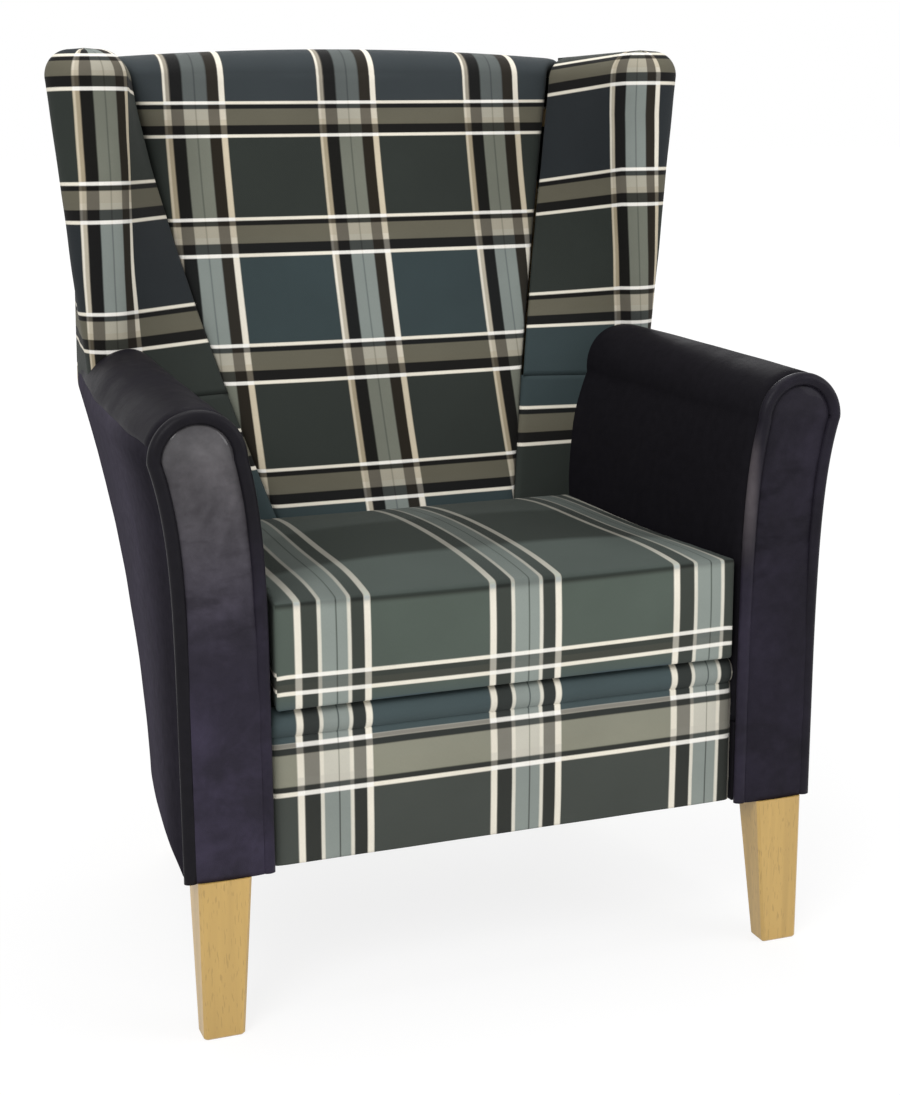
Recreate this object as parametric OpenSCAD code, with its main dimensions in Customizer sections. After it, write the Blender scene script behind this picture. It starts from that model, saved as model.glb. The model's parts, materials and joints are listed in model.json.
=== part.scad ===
// Fireside chair with wings: a beech frame under foam and fabric, with a loose seat cushion.
// X is across the chair, -Y is its front, Z is up, and the origin is on the floor under its middle.
// Lengths are millimetres. Sections are drawn with the front plane of the arms at depth 0.

/* [Overall] */
// Height of the top of the back above the floor
back_h = 991; // [900:1:1080]
// Depth from the arm fronts to the back of the top edge
body_d = 630; // [600:1:720]
// Width across the arms at their feet
arms_w = 712; // [690:1:730]
// Width of an arm at its foot
arm_w = 94; // [90:1:110]
// Height of the legs
leg_h = 170; // [130:1:200]

/* [Arms] */
// Height of the arm at its front
arm_h = 646; // [620:1:680]
// How much higher the arm is at its back
arm_climb = 14; // [5:1:25]
// Height of the rounded top of the arm
arm_cap_h = 49; // [40:1:60]
// How far the outer face flares out at the arm's front
arm_flare = 20; // [8:1:26]
// How far the inner face flares out at the arm's front
arm_in_flare = 16; // [8:1:22]
// How much farther in than the arm's foot in front the outer arm is at the foot of the back
rear_taper = 70; // [55:1:80]
// How far the outer face flares out at the back
rear_flare = 58; // [40:1:62]
// Width of an arm at the foot of the back
rear_arm_w = 84; // [70:1:92]
// How far the inner face flares out at the back
rear_in_flare = 60; // [40:1:62]
// Outward bow of the outer arm between front and back
arm_bow = 12; // [4:1:18]
// Radius of the rolled edge round the arm front
facing_roll_r = 7; // [5:0.5:9]
// Depth of the facing panel behind the rolled edge
facing_sink = 4; // [2:0.5:6]

/* [Back] */
// Lean of the outside back, in degrees
back_rake = 9.25; // [6:0.25:12]
// Height above the deck at which the inside back meets the seat cushion
lumbar_rise = 105; // [95:1:115]
// How far the inside back stands at that height before the back of the top edge
lumbar_t = 264; // [250:1:280]
// Distance of the wing seams inside the arms at that height
lumbar_set = 54; // [45:1:65]
// Thickness of the back at its top
crest_t = 83; // [70:1:100]
// How far the middle of the back stands proud of its seams
back_crown = 8; // [2:1:12]
// Height of the rounded top edge of the back
crest_h = 33; // [25:1:40]
// How much lower the corners of the top edge are than its middle
crest_drop = 11; // [5:1:16]
// How much farther out than the arms' feet each side of the outside back is at its top
top_flare = 39; // [24:1:46]

/* [Wings] */
// Distance of the middle of the wing's front roll before the back of the top edge
wing_reach = 200; // [185:1:210]
// Thickness of the wing at the top of its seam with the back
wing_root_w = 56; // [45:1:75]
// Half depth of that roll
wing_roll_d = 28; // [24:1:32]
// How far outside the arms' feet the wings stand at their top
wing_overhang = 30; // [20:1:50]
// How far inside the arm's front top edge the wing's outer edge starts
wing_foot_set = 19; // [14:1:26]
// Width of the wing's front roll just above the arm
wing_roll_w = 57; // [50:1:64]
// How much nearer the middle that edge is at the top
wing_inner_lean = 6; // [0:1:10]
// How much lower than the back the wing is at its front
wing_step = 4; // [0:1:30]
// How much lower the wing is at its back
wing_fall = 8; // [0:1:16]
// Height of the rounding along the wing's top
wing_round_h = 30; // [20:1:36]
// Width of the rounding along the wing's top
wing_round_w = 18; // [10:1:20]

/* [Seat] */
// Height of the underside of the cushion
deck_h = 336; // [325:1:345]
// Height of the cushion's top edge above its underside
cushion_t = 114; // [90:1:120]
// Rise of the cushion's crown above its top edge
cushion_crown = 16; // [6:1:22]
// How far the cushion's sides draw in between its corners
cushion_draw = 4; // [2:0.5:6]
// Distance of the cushion's front behind the arm fronts
cushion_inset = 6; // [3:1:10]
// Space between the cushion and each arm
cushion_side_gap = 3; // [2:0.5:6]
// Space between the cushion and the inside back
cushion_back_gap = 2; // [1:0.5:6]
// Distance of the front border behind the arm fronts
border_inset = 16.5; // [15:0.5:20]
// Radius of the roll along the top of the front border
border_roll_r = 15; // [12:1:18]

/* [Legs] */
// Width of a front leg at its top
leg_top_w = 55; // [48:1:62]
// Width of a front leg at the floor
leg_foot_w = 43; // [34:1:48]
// Thickness of a front leg at its top
leg_top_d = 47; // [42:1:54]
// Thickness of a front leg at the floor
leg_foot_d = 28; // [24:1:36]
// Distance of the front legs behind the arm fronts
leg_inset = 1; // [1:1:6]
// Distance of the front legs inside the outer arms' feet
leg_side_inset = 13; // [4:1:16]
// Width and thickness of a rear leg at its top
rear_leg_top = 44; // [40:1:50]
// Width and thickness of a rear leg at the floor
rear_leg_foot = 34; // [28:1:38]
// How far a rear leg's foot stands behind its top
rear_leg_rake = 44; // [20:1:60]
// Bevel on the edges of the legs
leg_bevel = 2; // [1:0.5:4]
// Diameter of the leg bolts
bolt_dia = 8; // [6:1:8]
// Length of the leg bolts
bolt_l = 62; // [50:1:70]

/* [Frame] */
// Thickness of the seat rails
rail_t = 25; // [20:1:28]
// Height of the springs and the platform above the seat rails
deck_t = 73.7; // [65:0.1:90]
// Width of a back upright
post_w = 44; // [38:1:46]
// Depth of a back upright from front to back
post_d = 45; // [36:1:46]
// Thickness of the leg blocks
block_t = 30; // [24:1:34]
// Wire diameter of the zigzag seat springs
wire_dia = 3.6; // [3:0.1:4.2]
// Number of zigzag springs
spring_count = 5; // [4:1:6]
// Width of a zigzag spring
spring_w = 46; // [40:1:50]
// Bends in each zigzag spring
spring_bends = 17; // [13:2:19]
// Number of webbing bands behind the back foam
web_count = 6; // [4:1:7]
// Width of a webbing band
web_w = 50; // [40:1:56]

/* [Covers] */
// Thickness of the covering fabric
cover_t = 2; // [1.5:0.1:2.5]
// Thickness of the outside panels, board and fabric together
panel_t = 3.4; // [3:0.1:4]
// Thickness of the foam on the wings
wing_foam_t = 10; // [8:0.5:11]
// Thickness of the foam on the arms
arm_foam_t = 22; // [16:1:24]

/* [Hidden] */

// Clearance between pieces that lie against each other
gap = 0.3;
// Overrun of a cut past the face it leaves
over = 1;
$fn = 48;

// Powers of the curves that the arms and the back seams follow
front_flare_power = 6.5;
rear_flare_power = 1.7;
rear_in_power = 3.8;
back_curve_power = 1.6;
seam_curve_power = 1.25;

// Steps round and along the covered forms
arm_side_steps = 5;
arm_cap_steps = 10;
arm_steps = 7;
facing_sides = 8;
wing_face_steps = 6;
wing_arc_steps = 9;
wing_rows = 5;
wing_top_rows = 3;
back_rows = 12;
crest_rows = 8;
back_columns = 8;
cushion_columns = 12;
cushion_rows = 10;

function mix(a, b, t) = a + (b - a) * t;
function hold(v, lo, hi) = min(max(v, lo), hi);
function span(n) = [for (i = [0 : n]) i / n];
function flat2(rows) = [for (row = rows) for (p = row) p];

// Widths and depths that follow the body's
seat_w = arms_w - 2 * arm_w;
rear_w = arms_w - 2 * rear_taper;
rear_seat_w = rear_w - 2 * rear_arm_w;
lumbar_w = rear_seat_w - 2 * lumbar_set;
outside_top_w = rear_w + 2 * top_flare;
crest_w = outside_top_w - 2 * wing_root_w;
wing_w = arms_w + 2 * wing_overhang;
wing_foot = arms_w / 2 + arm_flare - wing_foot_set;
wing_inner = wing_foot - wing_roll_w;
lumbar_d = body_d - lumbar_t;
crest_d = body_d - crest_t;
wing_d = body_d - wing_reach;

// Heights shared by the pieces
wing_h = back_h - wing_step;
arm_spring_z = arm_h - arm_cap_h;
back_spring_z = back_h - crest_h;
rail_z = leg_h + cover_t + gap;
rail_top = deck_h - deck_t;
rail_h = rail_top - rail_z;
lumbar_h = deck_h + lumbar_rise;
front_depth = 2 * facing_roll_r;
body_front = front_depth + gap;

// Share of the way from the arm's foot up to the start of its rounded top
function climb_share(z) = hold((z - leg_h) / (arm_spring_z - leg_h), 0, 1);

// Depth of the outside back's plane at a height
function outside_y(z) = body_d - (back_spring_z - z) * tan(back_rake);

// Half widths of the arm's outer and inner faces, t running from its front to its back
function arm_out(t, z) =
  mix(arms_w / 2 + arm_flare * pow(climb_share(z), front_flare_power),
      rear_w / 2 + rear_flare * pow(climb_share(z), rear_flare_power), t)
  + arm_bow * sin(180 * t);
function arm_in(t, z) =
  mix(seat_w / 2 + arm_in_flare * pow(climb_share(z), front_flare_power),
      rear_seat_w / 2 + rear_in_flare * pow(climb_share(z), rear_in_power), t);
function arm_cap(t) = arm_cap_h + arm_climb * t;
function arm_end_y(z) = outside_y(z) - panel_t - gap;
function arm_y(t, z) = mix(body_front, arm_end_y(z), t);
function arm_t(y, z) = hold((y - body_front) / (arm_end_y(z) - body_front), 0, 1);

// A point of the arm's section: u is 0 to 1 up the outer face, 1 to 2 over the top, 2 to 3 down inside
function arm_xz(t, u, d, low) =
  u < 1 ? let (z = mix(low, arm_spring_z, u)) [arm_out(t, z) - d, z] :
  u > 2 ? let (z = mix(arm_spring_z, low, u - 2)) [arm_in(t, z) + d, z] :
  let (o = arm_out(t, arm_spring_z), i = arm_in(t, arm_spring_z), a = 180 * (u - 1))
    [(o + i) / 2 + ((o - i) / 2 - d) * cos(a), arm_spring_z + (arm_cap(t) - d) * sin(a)];
function arm_point(t, u, d, low) =
  let (p = arm_xz(t, u, d, low)) [p.x, arm_y(t, p.y), p.y];

// The seam between the inside back and the wing, and the face of the inside back
function back_share(z) = hold((z - lumbar_h) / (back_h - crest_drop - lumbar_h), 0, 1);
function seam_half(z) =
  mix(lumbar_w, crest_w, 1 - pow(1 - back_share(z), seam_curve_power)) / 2;
tuck_d = 22;
tuck_z = deck_h + crest_drop;
function seam_y(z) =
  mix(lumbar_d, crest_d, 1 - pow(1 - back_share(z), back_curve_power))
  + tuck_d * pow(max(0, (lumbar_h - z) / (lumbar_h - tuck_z)), 2);
function outside_half(z) =
  z <= arm_spring_z ? arm_out(1, z)
  : mix(arm_out(1, arm_spring_z), outside_top_w / 2, (z - arm_spring_z) / (back_h - arm_spring_z));

// Places of the frame behind the padding
post_front_gap = post_d + panel_t + 2 * gap;
function post_y(z) = outside_y(z) - post_front_gap;
post_out = rear_w / 2 - panel_t - rail_t;
post_in = post_out - post_w;
web_t = 2;
rear_rail_y = post_y(rail_z) + post_d - rail_t;
front_rail_y = border_inset + cover_t + border_roll_r + 2 * gap;
side_rail_out = arms_w / 2 - arm_foam_t - panel_t - rail_t;
arm_post_x = seat_w / 2 + arm_in_flare + arm_foam_t + cover_t + 2 * gap;
function border_half(y) = arm_in(arm_t(y, leg_h), leg_h) - 2 * gap;

// Everything is drawn from the arm fronts back, then centred on the body's depth
module placed() translate([0, -body_d / 2, 0]) children();
module left_side() mirror([1, 0, 0]) children();

// A solid between two matching grids of points, the first facing out
module slab(a, b) {
  rows = len(a);
  cols = len(a[0]);
  n = rows * cols;
  faces = concat(
    [for (r = [0 : rows - 2]) for (c = [0 : cols - 2]) let (p = r * cols + c)
      each [[p, p + 1, p + cols + 1], [p, p + cols + 1, p + cols]]],
    [for (r = [0 : rows - 2]) for (c = [0 : cols - 2]) let (p = n + r * cols + c)
      each [[p, p + cols + 1, p + 1], [p, p + cols, p + cols + 1]]],
    [for (c = [0 : cols - 2]) let (q = (rows - 1) * cols + c)
      each [[c, n + c, n + c + 1], [c, n + c + 1, c + 1],
            [q, n + q + 1, n + q], [q, q + 1, n + q + 1]]],
    [for (r = [0 : rows - 2]) let (p = r * cols, q = p + cols - 1)
      each [[p, p + cols, n + p + cols], [p, n + p + cols, n + p],
            [q, n + q + cols, q + cols], [q, n + q, n + q + cols]]]);
  polyhedron(points = concat(flat2(a), flat2(b)), faces = faces);
}

// A closed tube through rings of points, with flat ends
module tube(rings) {
  m = len(rings);
  n = len(rings[0]);
  faces = concat(
    [for (r = [0 : m - 2]) for (c = [0 : n - 1])
      let (p = r * n + c, q = r * n + (c + 1) % n)
      each [[p, q, q + n], [p, q + n, p + n]]],
    [[for (c = [n - 1 : -1 : 0]) c]],
    [[for (c = [0 : n - 1]) (m - 1) * n + c]]);
  polyhedron(points = flat2(rings), faces = faces);
}

// A cup open at its foot: outer rings and matching inner rings, each closed at the last ring
module cup(outer, inner) {
  m = len(outer);
  n = len(outer[0]);
  k = m * n;
  faces = concat(
    [for (r = [0 : m - 2]) for (c = [0 : n - 1])
      let (p = r * n + c, q = r * n + (c + 1) % n)
      each [[p, q, q + n], [p, q + n, p + n],
            [k + p, k + q + n, k + q], [k + p, k + p + n, k + q + n]]],
    [for (c = [0 : n - 1]) let (q = (c + 1) % n) each [[c, k + c, k + q], [c, k + q, q]]],
    [[for (c = [0 : n - 1]) (m - 1) * n + c]],
    [[for (c = [n - 1 : -1 : 0]) k + (m - 1) * n + c]]);
  polyhedron(points = concat(flat2(outer), flat2(inner)), faces = faces);
}

// A closed outline moved in by a distance
function unit2(v) = v / norm(v);
function inset_ring(ring, d) =
  let (n = len(ring))
  [for (i = [0 : n - 1])
    let (p = ring[i], u = unit2(p - ring[(i + n - 1) % n]), v = unit2(ring[(i + 1) % n] - p),
         a = [-u.y, u.x], b = [-v.y, v.x])
    p + d * (a + b) / (1 + a * b)];

// Arms: the inner face and the top, with the inner face ending short of the back
arm_low = rail_top + cover_t;
arm_seam_share = 0.1;
arm_seam_u = 1 + arm_seam_share;
inner_end_share = 0.86;
module arm_band(d0, d1) {
  us = concat([for (s = span(arm_cap_steps)) mix(arm_seam_u, 2, s)],
              [for (s = span(arm_side_steps)) if (s > 0) 2 + s]);
  ends = [for (u = us) u > 2 ? inner_end_share : mix(1, inner_end_share, pow(hold(u - 1, 0, 1), 2))];
  rows = span(arm_steps);
  slab([for (t = rows) [for (i = [0 : len(us) - 1]) arm_point(t * ends[i], us[i], d0, arm_low)]],
       [for (t = rows) [for (i = [0 : len(us) - 1]) arm_point(t * ends[i], us[i], d1, arm_low)]]);
}

wing_post_w = 22;
wing_post_d = 30;
wing_post_set = 6;
wing_post_x = (wing_foot + wing_inner) / 2 - wing_post_w / 2;
wing_post_y = wing_d - wing_roll_d + cover_t + wing_foam_t + wing_post_set;
arm_rail_t = 25;
arm_rail_w = 40;
arm_rail_top = arm_spring_z - 2 * gap;
arm_rail_z = arm_rail_top - arm_rail_t;
module wing_post_slot()
  translate([wing_post_x - gap, wing_post_y - gap, arm_rail_z])
    cube([wing_post_w + 2 * gap, wing_post_d + 2 * gap, back_h]);

module arm_cover() difference() {
  arm_band(0, cover_t);
  wing_post_slot();
}
module arm_foam() difference() {
  arm_band(cover_t + gap, cover_t + arm_foam_t);
  wing_post_slot();
}
module arm_cover_left() color("#23202b") placed() left_side() arm_cover();
module arm_cover_right() color("#23202b") placed() arm_cover();
module arm_foam_left() color("#d8cfa8") placed() left_side() arm_foam();
module arm_foam_right() color("#d8cfa8") placed() arm_foam();

// Outside arm: fabric on board from the arm's foot to the shoulder seam
seam_gap_share = 0.02;
outside_top_u = arm_seam_u - seam_gap_share;
module outside_arm() {
  us = concat([for (s = span(arm_side_steps + 1)) s], [outside_top_u]);
  slab([for (t = span(arm_steps)) [for (u = us) arm_point(t, u, 0, leg_h)]],
       [for (t = span(arm_steps)) [for (u = us) arm_point(t, u, panel_t, leg_h)]]);
}
module outside_arm_left() color("#2b2a31") placed() left_side() outside_arm();
module outside_arm_right() color("#2b2a31") placed() outside_arm();

// The arm's front: a padded panel inside a rolled edge
facing_us = concat([for (s = span(arm_side_steps)) if (s < 1) s],
                   [for (s = span(arm_cap_steps)) 1 + s],
                   [for (s = span(arm_side_steps)) if (s > 0) 2 + s]);
function facing_line(d) = [for (u = facing_us) arm_xz(0, u, d, leg_h)];
module arm_facing() {
  panel_back = front_depth - facing_sink;
  translate([0, front_depth, 0]) rotate([90, 0, 0])
    linear_extrude(height = panel_back) polygon(facing_line(2 * facing_roll_r + gap));
}
module facing_roll() {
  line = facing_line(facing_roll_r);
  n = len(line);
  tube([for (i = [0 : n - 1])
    let (t = unit2(line[min(i + 1, n - 1)] - line[max(i - 1, 0)]), side = [t.y, -t.x])
    [for (k = [0 : facing_sides - 1])
      let (a = 360 * k / facing_sides, s = facing_roll_r * cos(a))
      [line[i].x + s * side.x, facing_roll_r + facing_roll_r * sin(a), line[i].y + s * side.y]]]);
}
module arm_facing_left() color("#3a3346") placed() left_side() arm_facing();
module arm_facing_right() color("#3a3346") placed() arm_facing();
module facing_roll_left() color("#1d1a22") placed() left_side() facing_roll();
module facing_roll_right() color("#1d1a22") placed() facing_roll();

// Wings: a closed section in plan, with the inner and outer faces tangent to an oval front roll
wing_shoulder_z = wing_h - wing_round_h;
function wing_share(z) = (z - arm_h) / (wing_shoulder_z - arm_h);
function roll_out(z) = mix(wing_foot, wing_w / 2, wing_share(z));
function roll_in(z) = wing_inner - wing_inner_lean * wing_share(z);
function tangent_angle(p, c, w, d, side) =
  let (q = [(p.x - c.x) / w, (p.y - c.y) / d], r = norm(q)) atan2(q.y, q.x) + side * acos(1 / r);
function wing_ring(z) =
  let (c = [(roll_out(z) + roll_in(z)) / 2, wing_d], w = (roll_out(z) - roll_in(z)) / 2,
       s = [seam_half(z) + gap, seam_y(z)], o = [outside_half(z), arm_end_y(z)],
       a = tangent_angle(s, c, w, wing_roll_d, 1), b = tangent_angle(o, c, w, wing_roll_d, -1),
       a1 = a < 0 ? a + 360 : a, b1 = b < a1 ? b + 360 : b,
       arc = [for (k = span(wing_arc_steps)) let (g = mix(a1, b1, k))
               [c.x + w * cos(g), c.y + wing_roll_d * sin(g)]],
       first = arc[0], last = arc[wing_arc_steps])
  concat([for (k = span(wing_face_steps)) if (k < 1) s + (first - s) * k], arc,
         [for (k = span(wing_face_steps)) if (k > 0) last + (o - last) * k],
         [for (k = span(wing_face_steps)) if (k > 0 && k < 1) o + (s - o) * k]);
// Rings of a wing layer whose face lies d inside the cover
function wing_rings(d) = concat(
  [for (k = span(wing_rows)) let (z = mix(arm_spring_z, wing_shoulder_z, k))
    [for (p = inset_ring(wing_ring(z), d)) wing_place(p, z)]],
  [for (k = [1 : wing_top_rows]) let (a = 90 * k / wing_top_rows,
      z = wing_shoulder_z + (wing_round_h - d) * sin(a), e = d + wing_round_w * (1 - cos(a)))
    [for (p = inset_ring(wing_ring(wing_shoulder_z), e)) wing_place(p, z)]]);
function wing_drop(p, z) =
  wing_fall * max(0, wing_share(z)) * (p.y - wing_d + wing_roll_d) / (body_d - wing_d);
function wing_place(p, z) =
  let (drop = wing_drop(p, z)) [p.x, p.y - drop * tan(back_rake), z - drop];

// The arm's top, a little enlarged, which the wing's foot is cut to fit
arm_top_first_share = 0.6;
arm_top_last_share = 1.05;
module arm_top_form() {
  us = concat([3], [for (s = span(arm_cap_steps)) 2 - s], [0]);
  tube([for (k = span(arm_steps)) let (t = mix(arm_top_last_share, arm_top_first_share, k))
    [for (u = us) arm_point(t, u, -3 * gap, arm_spring_z - arm_cap_h)]]);
}
module wing_layer(d0, d1) difference() {
  cup(wing_rings(d0), wing_rings(d1));
  arm_top_form();
  wing_rail_form(gap);
}
module wing_cover() wing_layer(0, cover_t);
module wing_foam() wing_layer(cover_t + gap, cover_t + wing_foam_t);
module wing_cover_left() color("#3d4a4c") placed() left_side() wing_cover();
module wing_cover_right() color("#3d4a4c") placed() wing_cover();
module wing_foam_left() color("#d8cfa8") placed() left_side() wing_foam();
module wing_foam_right() color("#d8cfa8") placed() wing_foam();

// Lower wing: the padded strip between the back and the arm, tucked down behind the cushion
tuck_t = 14;
tuck_arm_share = 0.8;
tuck_rows = 7;
tuck_columns = 3;
function tuck_edge(z) =
  let (s = [seam_half(z), seam_y(z)], k = (wing_d - s.y) / (wing_inner - s.x), x0 = arm_in(tuck_arm_share, z),
       y0 = s.y + k * (x0 - s.x), x1 = arm_in(arm_t(y0 + tuck_t, z), z)) [x1, s.y + k * (x1 - s.x)];
module wing_tuck() {
  rows = [for (v = span(tuck_rows)) let (z = mix(tuck_z, arm_spring_z - gap, v),
      a = [seam_half(z) + 3 * gap, seam_y(z)], b = tuck_edge(z) - [3 * gap, 0])
    [for (h = span(tuck_columns)) let (p = a + (b - a) * h) [p.x, p.y, z]]];
  slab([for (r = rows) [for (p = r) p + [0, tuck_t, 0]]], rows);
}
module wing_tuck_left() color("#36413f") placed() left_side() wing_tuck();
module wing_tuck_right() color("#36413f") placed() wing_tuck();

// Inside back: up from the seat, over the top edge and a little way down outside
outside_lap = 20;
function crest_top(h) = back_h - crest_drop * h * h;
function crest_y(z) = seam_y(min(z, back_spring_z));
function back_line(d) = concat(
  [for (v = span(back_rows)) let (z = mix(tuck_z, back_spring_z, v)) [seam_y(z) + d, z, 0]],
  [for (v = span(crest_rows)) if (v > 0) let (a = 180 * v, i = crest_y(back_h) + d, o = body_d - d)
    [(i + o) / 2 - (o - i) / 2 * cos(a), back_spring_z + (crest_h - d) * sin(a), sin(a)]],
  [[outside_y(back_spring_z - outside_lap) - d, back_spring_z - outside_lap, 0]]);
function back_half(y, z, k) =
  k <= back_rows ? seam_half(z)
  : mix(seam_half(back_spring_z), outside_half(back_spring_z),
        hold((y - crest_y(back_h)) / (body_d - crest_y(back_h)), 0, 1));
function back_grid(d, lap) =
  let (line = back_line(d))
  [for (k = [0 : len(line) - 1 - lap]) let (p = line[k], w = back_half(p.x, p.y, k) - gap)
    [for (h = [for (s = span(back_columns)) 2 * s - 1])
      let (proud = k <= back_rows ? back_crown * (1 - h * h) * sin(180 * back_share(p.y)) : 0)
      [w * h, p.x - proud, p.y - p.z * crest_drop * h * h]]];
module inside_back_cover() color("#46504f") placed() slab(back_grid(cover_t, 0), back_grid(0, 0));

// Back foam: from the cover to the webbing, under the top edge
foam_line = [for (v = span(back_rows)) mix(tuck_z, back_spring_z, v)];
module back_foam() color("#d8cfa8") placed() {
  front = [for (z = foam_line) [for (s = span(back_columns)) let (h = 2 * s - 1)
    [(seam_half(z) - 2 * gap) * h,
     seam_y(z) + cover_t + gap - back_crown * (1 - h * h) * sin(180 * back_share(z)), z]]];
  rear = [for (r = front) [for (p = r) [p.x, post_y(p.z) - web_t - gap, p.z]]];
  slab(rear, front);
}

// Outside back: fabric on board, from the frame's foot to the top edge's lap
outside_rows = 9;
module outside_back() color("#3a4446") placed() {
  zs = [for (v = span(outside_rows)) mix(leg_h, back_spring_z - outside_lap - gap, v)];
  face = [for (z = zs) [for (h = [-1, 0, 1]) [outside_half(z) * h, outside_y(z), z]]];
  slab(face, [for (r = face) [for (p = r) p - [0, panel_t, 0]]]);
}

// Front border: a padded panel with a rolled top edge
border_top = deck_h - 2 * gap;
module border_profile(d) {
  r = border_roll_r - d;
  translate([border_roll_r, border_top - border_roll_r]) circle(r = r);
  translate([d, leg_h + d]) square([r, border_top - leg_h - border_roll_r - d]);
}
module border_run() {
  border_back = border_inset + 2 * border_roll_r;
  intersection() {
    translate([-seat_w / 2, border_inset, 0]) rotate([90, 0, 90])
      linear_extrude(height = seat_w) children();
    linear_extrude(height = back_h) polygon([
      [-border_half(border_inset), border_inset], [border_half(border_inset), border_inset],
      [border_half(border_back), border_back], [-border_half(border_back), border_back]]);
  }
}
module front_border_cover() color("#4a5150") placed() border_run() difference() {
  border_profile(0);
  border_profile(cover_t);
}
module border_foam() color("#d8cfa8") placed() border_run() border_profile(cover_t + gap);

// Seat frame
module front_rail() color("#c9a873") placed()
  translate([-arm_post_x + gap, front_rail_y, rail_z])
    cube([2 * (arm_post_x - gap), rail_t, rail_h]);
module rear_rail() color("#c9a873") placed()
  translate([-post_in + gap, rear_rail_y, rail_z]) cube([2 * (post_in - gap), rail_t, rail_h]);
side_rail_start = leg_inset + leg_top_d + gap;
side_rail_end = post_y(leg_h) - gap;
module side_rail() translate([0, 0, rail_z]) linear_extrude(height = rail_h)
  polygon([[side_rail_out, side_rail_start], [side_rail_out + rail_t, side_rail_start],
           [post_out, side_rail_end], [post_out - rail_t, side_rail_end]]);
module side_rail_left() color("#c9a873") placed() left_side() side_rail();
module side_rail_right() color("#c9a873") placed() side_rail();

// Legs: tapered inside and behind, plumb outside and in front, with a bore for the leg bolt
front_leg_x = arms_w / 2 - leg_side_inset - leg_top_w / 2;
front_leg_y = leg_inset + leg_top_d / 2;
rear_leg_x = post_out - rear_leg_top / 2;
rear_leg_y = post_y(leg_h) + rear_leg_top / 2;
leg_block_gap = 4;
front_block_out = arms_w / 2 - panel_t - leg_block_gap;
front_block_d = leg_inset + leg_top_d - body_front;
front_bolt_x = (arm_post_x + front_block_out) / 2;
front_bolt_y = body_front + front_block_d / 2;
bore_r = bolt_dia / 2 + gap / 2;
bolt_leg_share = 0.6;
bolt_in_leg = bolt_l * bolt_leg_share;
module taper(top, foot, shift, turn) rotate([0, 0, turn]) rotate([90, 0, 0])
  translate([0, 0, -body_d]) linear_extrude(height = 2 * body_d)
    polygon([[shift - foot / 2 + leg_bevel, 0], [shift + foot / 2 - leg_bevel, 0],
             [shift + foot / 2, leg_bevel], [top / 2, leg_h],
             [-top / 2, leg_h], [shift - foot / 2, leg_bevel]]);
module leg(top, foot, shift, bolt) difference() {
  corner_top = (top.x + top.y) * sin(45) - 2 * leg_bevel;
  corner_foot = (foot.x + foot.y) * sin(45) - 2 * leg_bevel;
  intersection() {
    taper(top.x, foot.x, shift.x, 0);
    taper(top.y, foot.y, shift.y, 90);
    taper(corner_top, corner_foot, (shift.x + shift.y) * sin(45), 45);
    taper(corner_top, corner_foot, (shift.y - shift.x) * sin(45), 135);
  }
  translate([bolt.x, bolt.y, leg_h - bolt_in_leg - over])
    cylinder(r = bore_r, h = bolt_in_leg + 2 * over);
}
module front_leg() translate([front_leg_x, front_leg_y, 0])
  leg([leg_top_w, leg_top_d], [leg_foot_w, leg_foot_d],
      [(leg_top_w - leg_foot_w) / 2, (leg_foot_d - leg_top_d) / 2],
      [front_bolt_x - front_leg_x, front_bolt_y - front_leg_y]);
module rear_leg() translate([rear_leg_x, rear_leg_y, 0])
  leg([rear_leg_top, rear_leg_top], [rear_leg_foot, rear_leg_foot], [0, rear_leg_rake], [0, 0]);
module front_leg_left() color("#d3b072") placed() left_side() front_leg();
module front_leg_right() color("#d3b072") placed() front_leg();
module rear_leg_left() color("#d3b072") placed() left_side() rear_leg();
module rear_leg_right() color("#d3b072") placed() rear_leg();

// Leg blocks, with a stepped bore for the tee nut, the nut and the bolt
nut_flange_r = 11;
nut_flange_t = 1.6;
nut_barrel_r = 5.2;
nut_barrel_l = 14;
module each_bolt() for (s = [-1, 1]) {
  translate([s * front_bolt_x, front_bolt_y, 0]) children(0);
  translate([s * rear_leg_x, rear_leg_y, 0]) children(1);
}
module block_bore() {
  translate([0, 0, leg_h - over]) cylinder(r = bore_r, h = block_t + 2 * over);
  translate([0, 0, leg_h + block_t - nut_flange_t - nut_barrel_l])
    cylinder(r = nut_barrel_r + gap / 2, h = nut_barrel_l + nut_flange_t + over);
  translate([0, 0, leg_h + block_t - nut_flange_t - gap / 2])
    cylinder(r = nut_flange_r + gap / 2, h = nut_flange_t + over);
}
module leg_blocks() color("#b98f58") placed() for (s = [0, 1]) mirror([s, 0, 0]) {
  difference() {
    translate([arm_post_x, body_front, leg_h])
      cube([front_block_out - arm_post_x, front_block_d, block_t]);
    translate([front_bolt_x, front_bolt_y, 0]) block_bore();
  }
  difference() {
    translate([post_in, post_y(leg_h), leg_h]) cube([post_w, post_d, block_t]);
    translate([rear_leg_x, rear_leg_y, 0]) block_bore();
  }
}
module tee_nut() difference() {
  union() {
    translate([0, 0, leg_h + block_t - nut_flange_t]) cylinder(r = nut_flange_r, h = nut_flange_t);
    translate([0, 0, leg_h + block_t - nut_flange_t - nut_barrel_l + gap])
      cylinder(r = nut_barrel_r, h = nut_barrel_l);
  }
  translate([0, 0, leg_h]) cylinder(r = bore_r, h = block_t + over);
}
module tee_nuts() color("#9fa3a6") placed() each_bolt() { tee_nut(); tee_nut(); }
module leg_bolt() translate([0, 0, leg_h - bolt_in_leg]) cylinder(d = bolt_dia, h = bolt_l);
module leg_bolts() color("#9fa3a6") placed() each_bolt() { leg_bolt(); leg_bolt(); }

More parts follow.
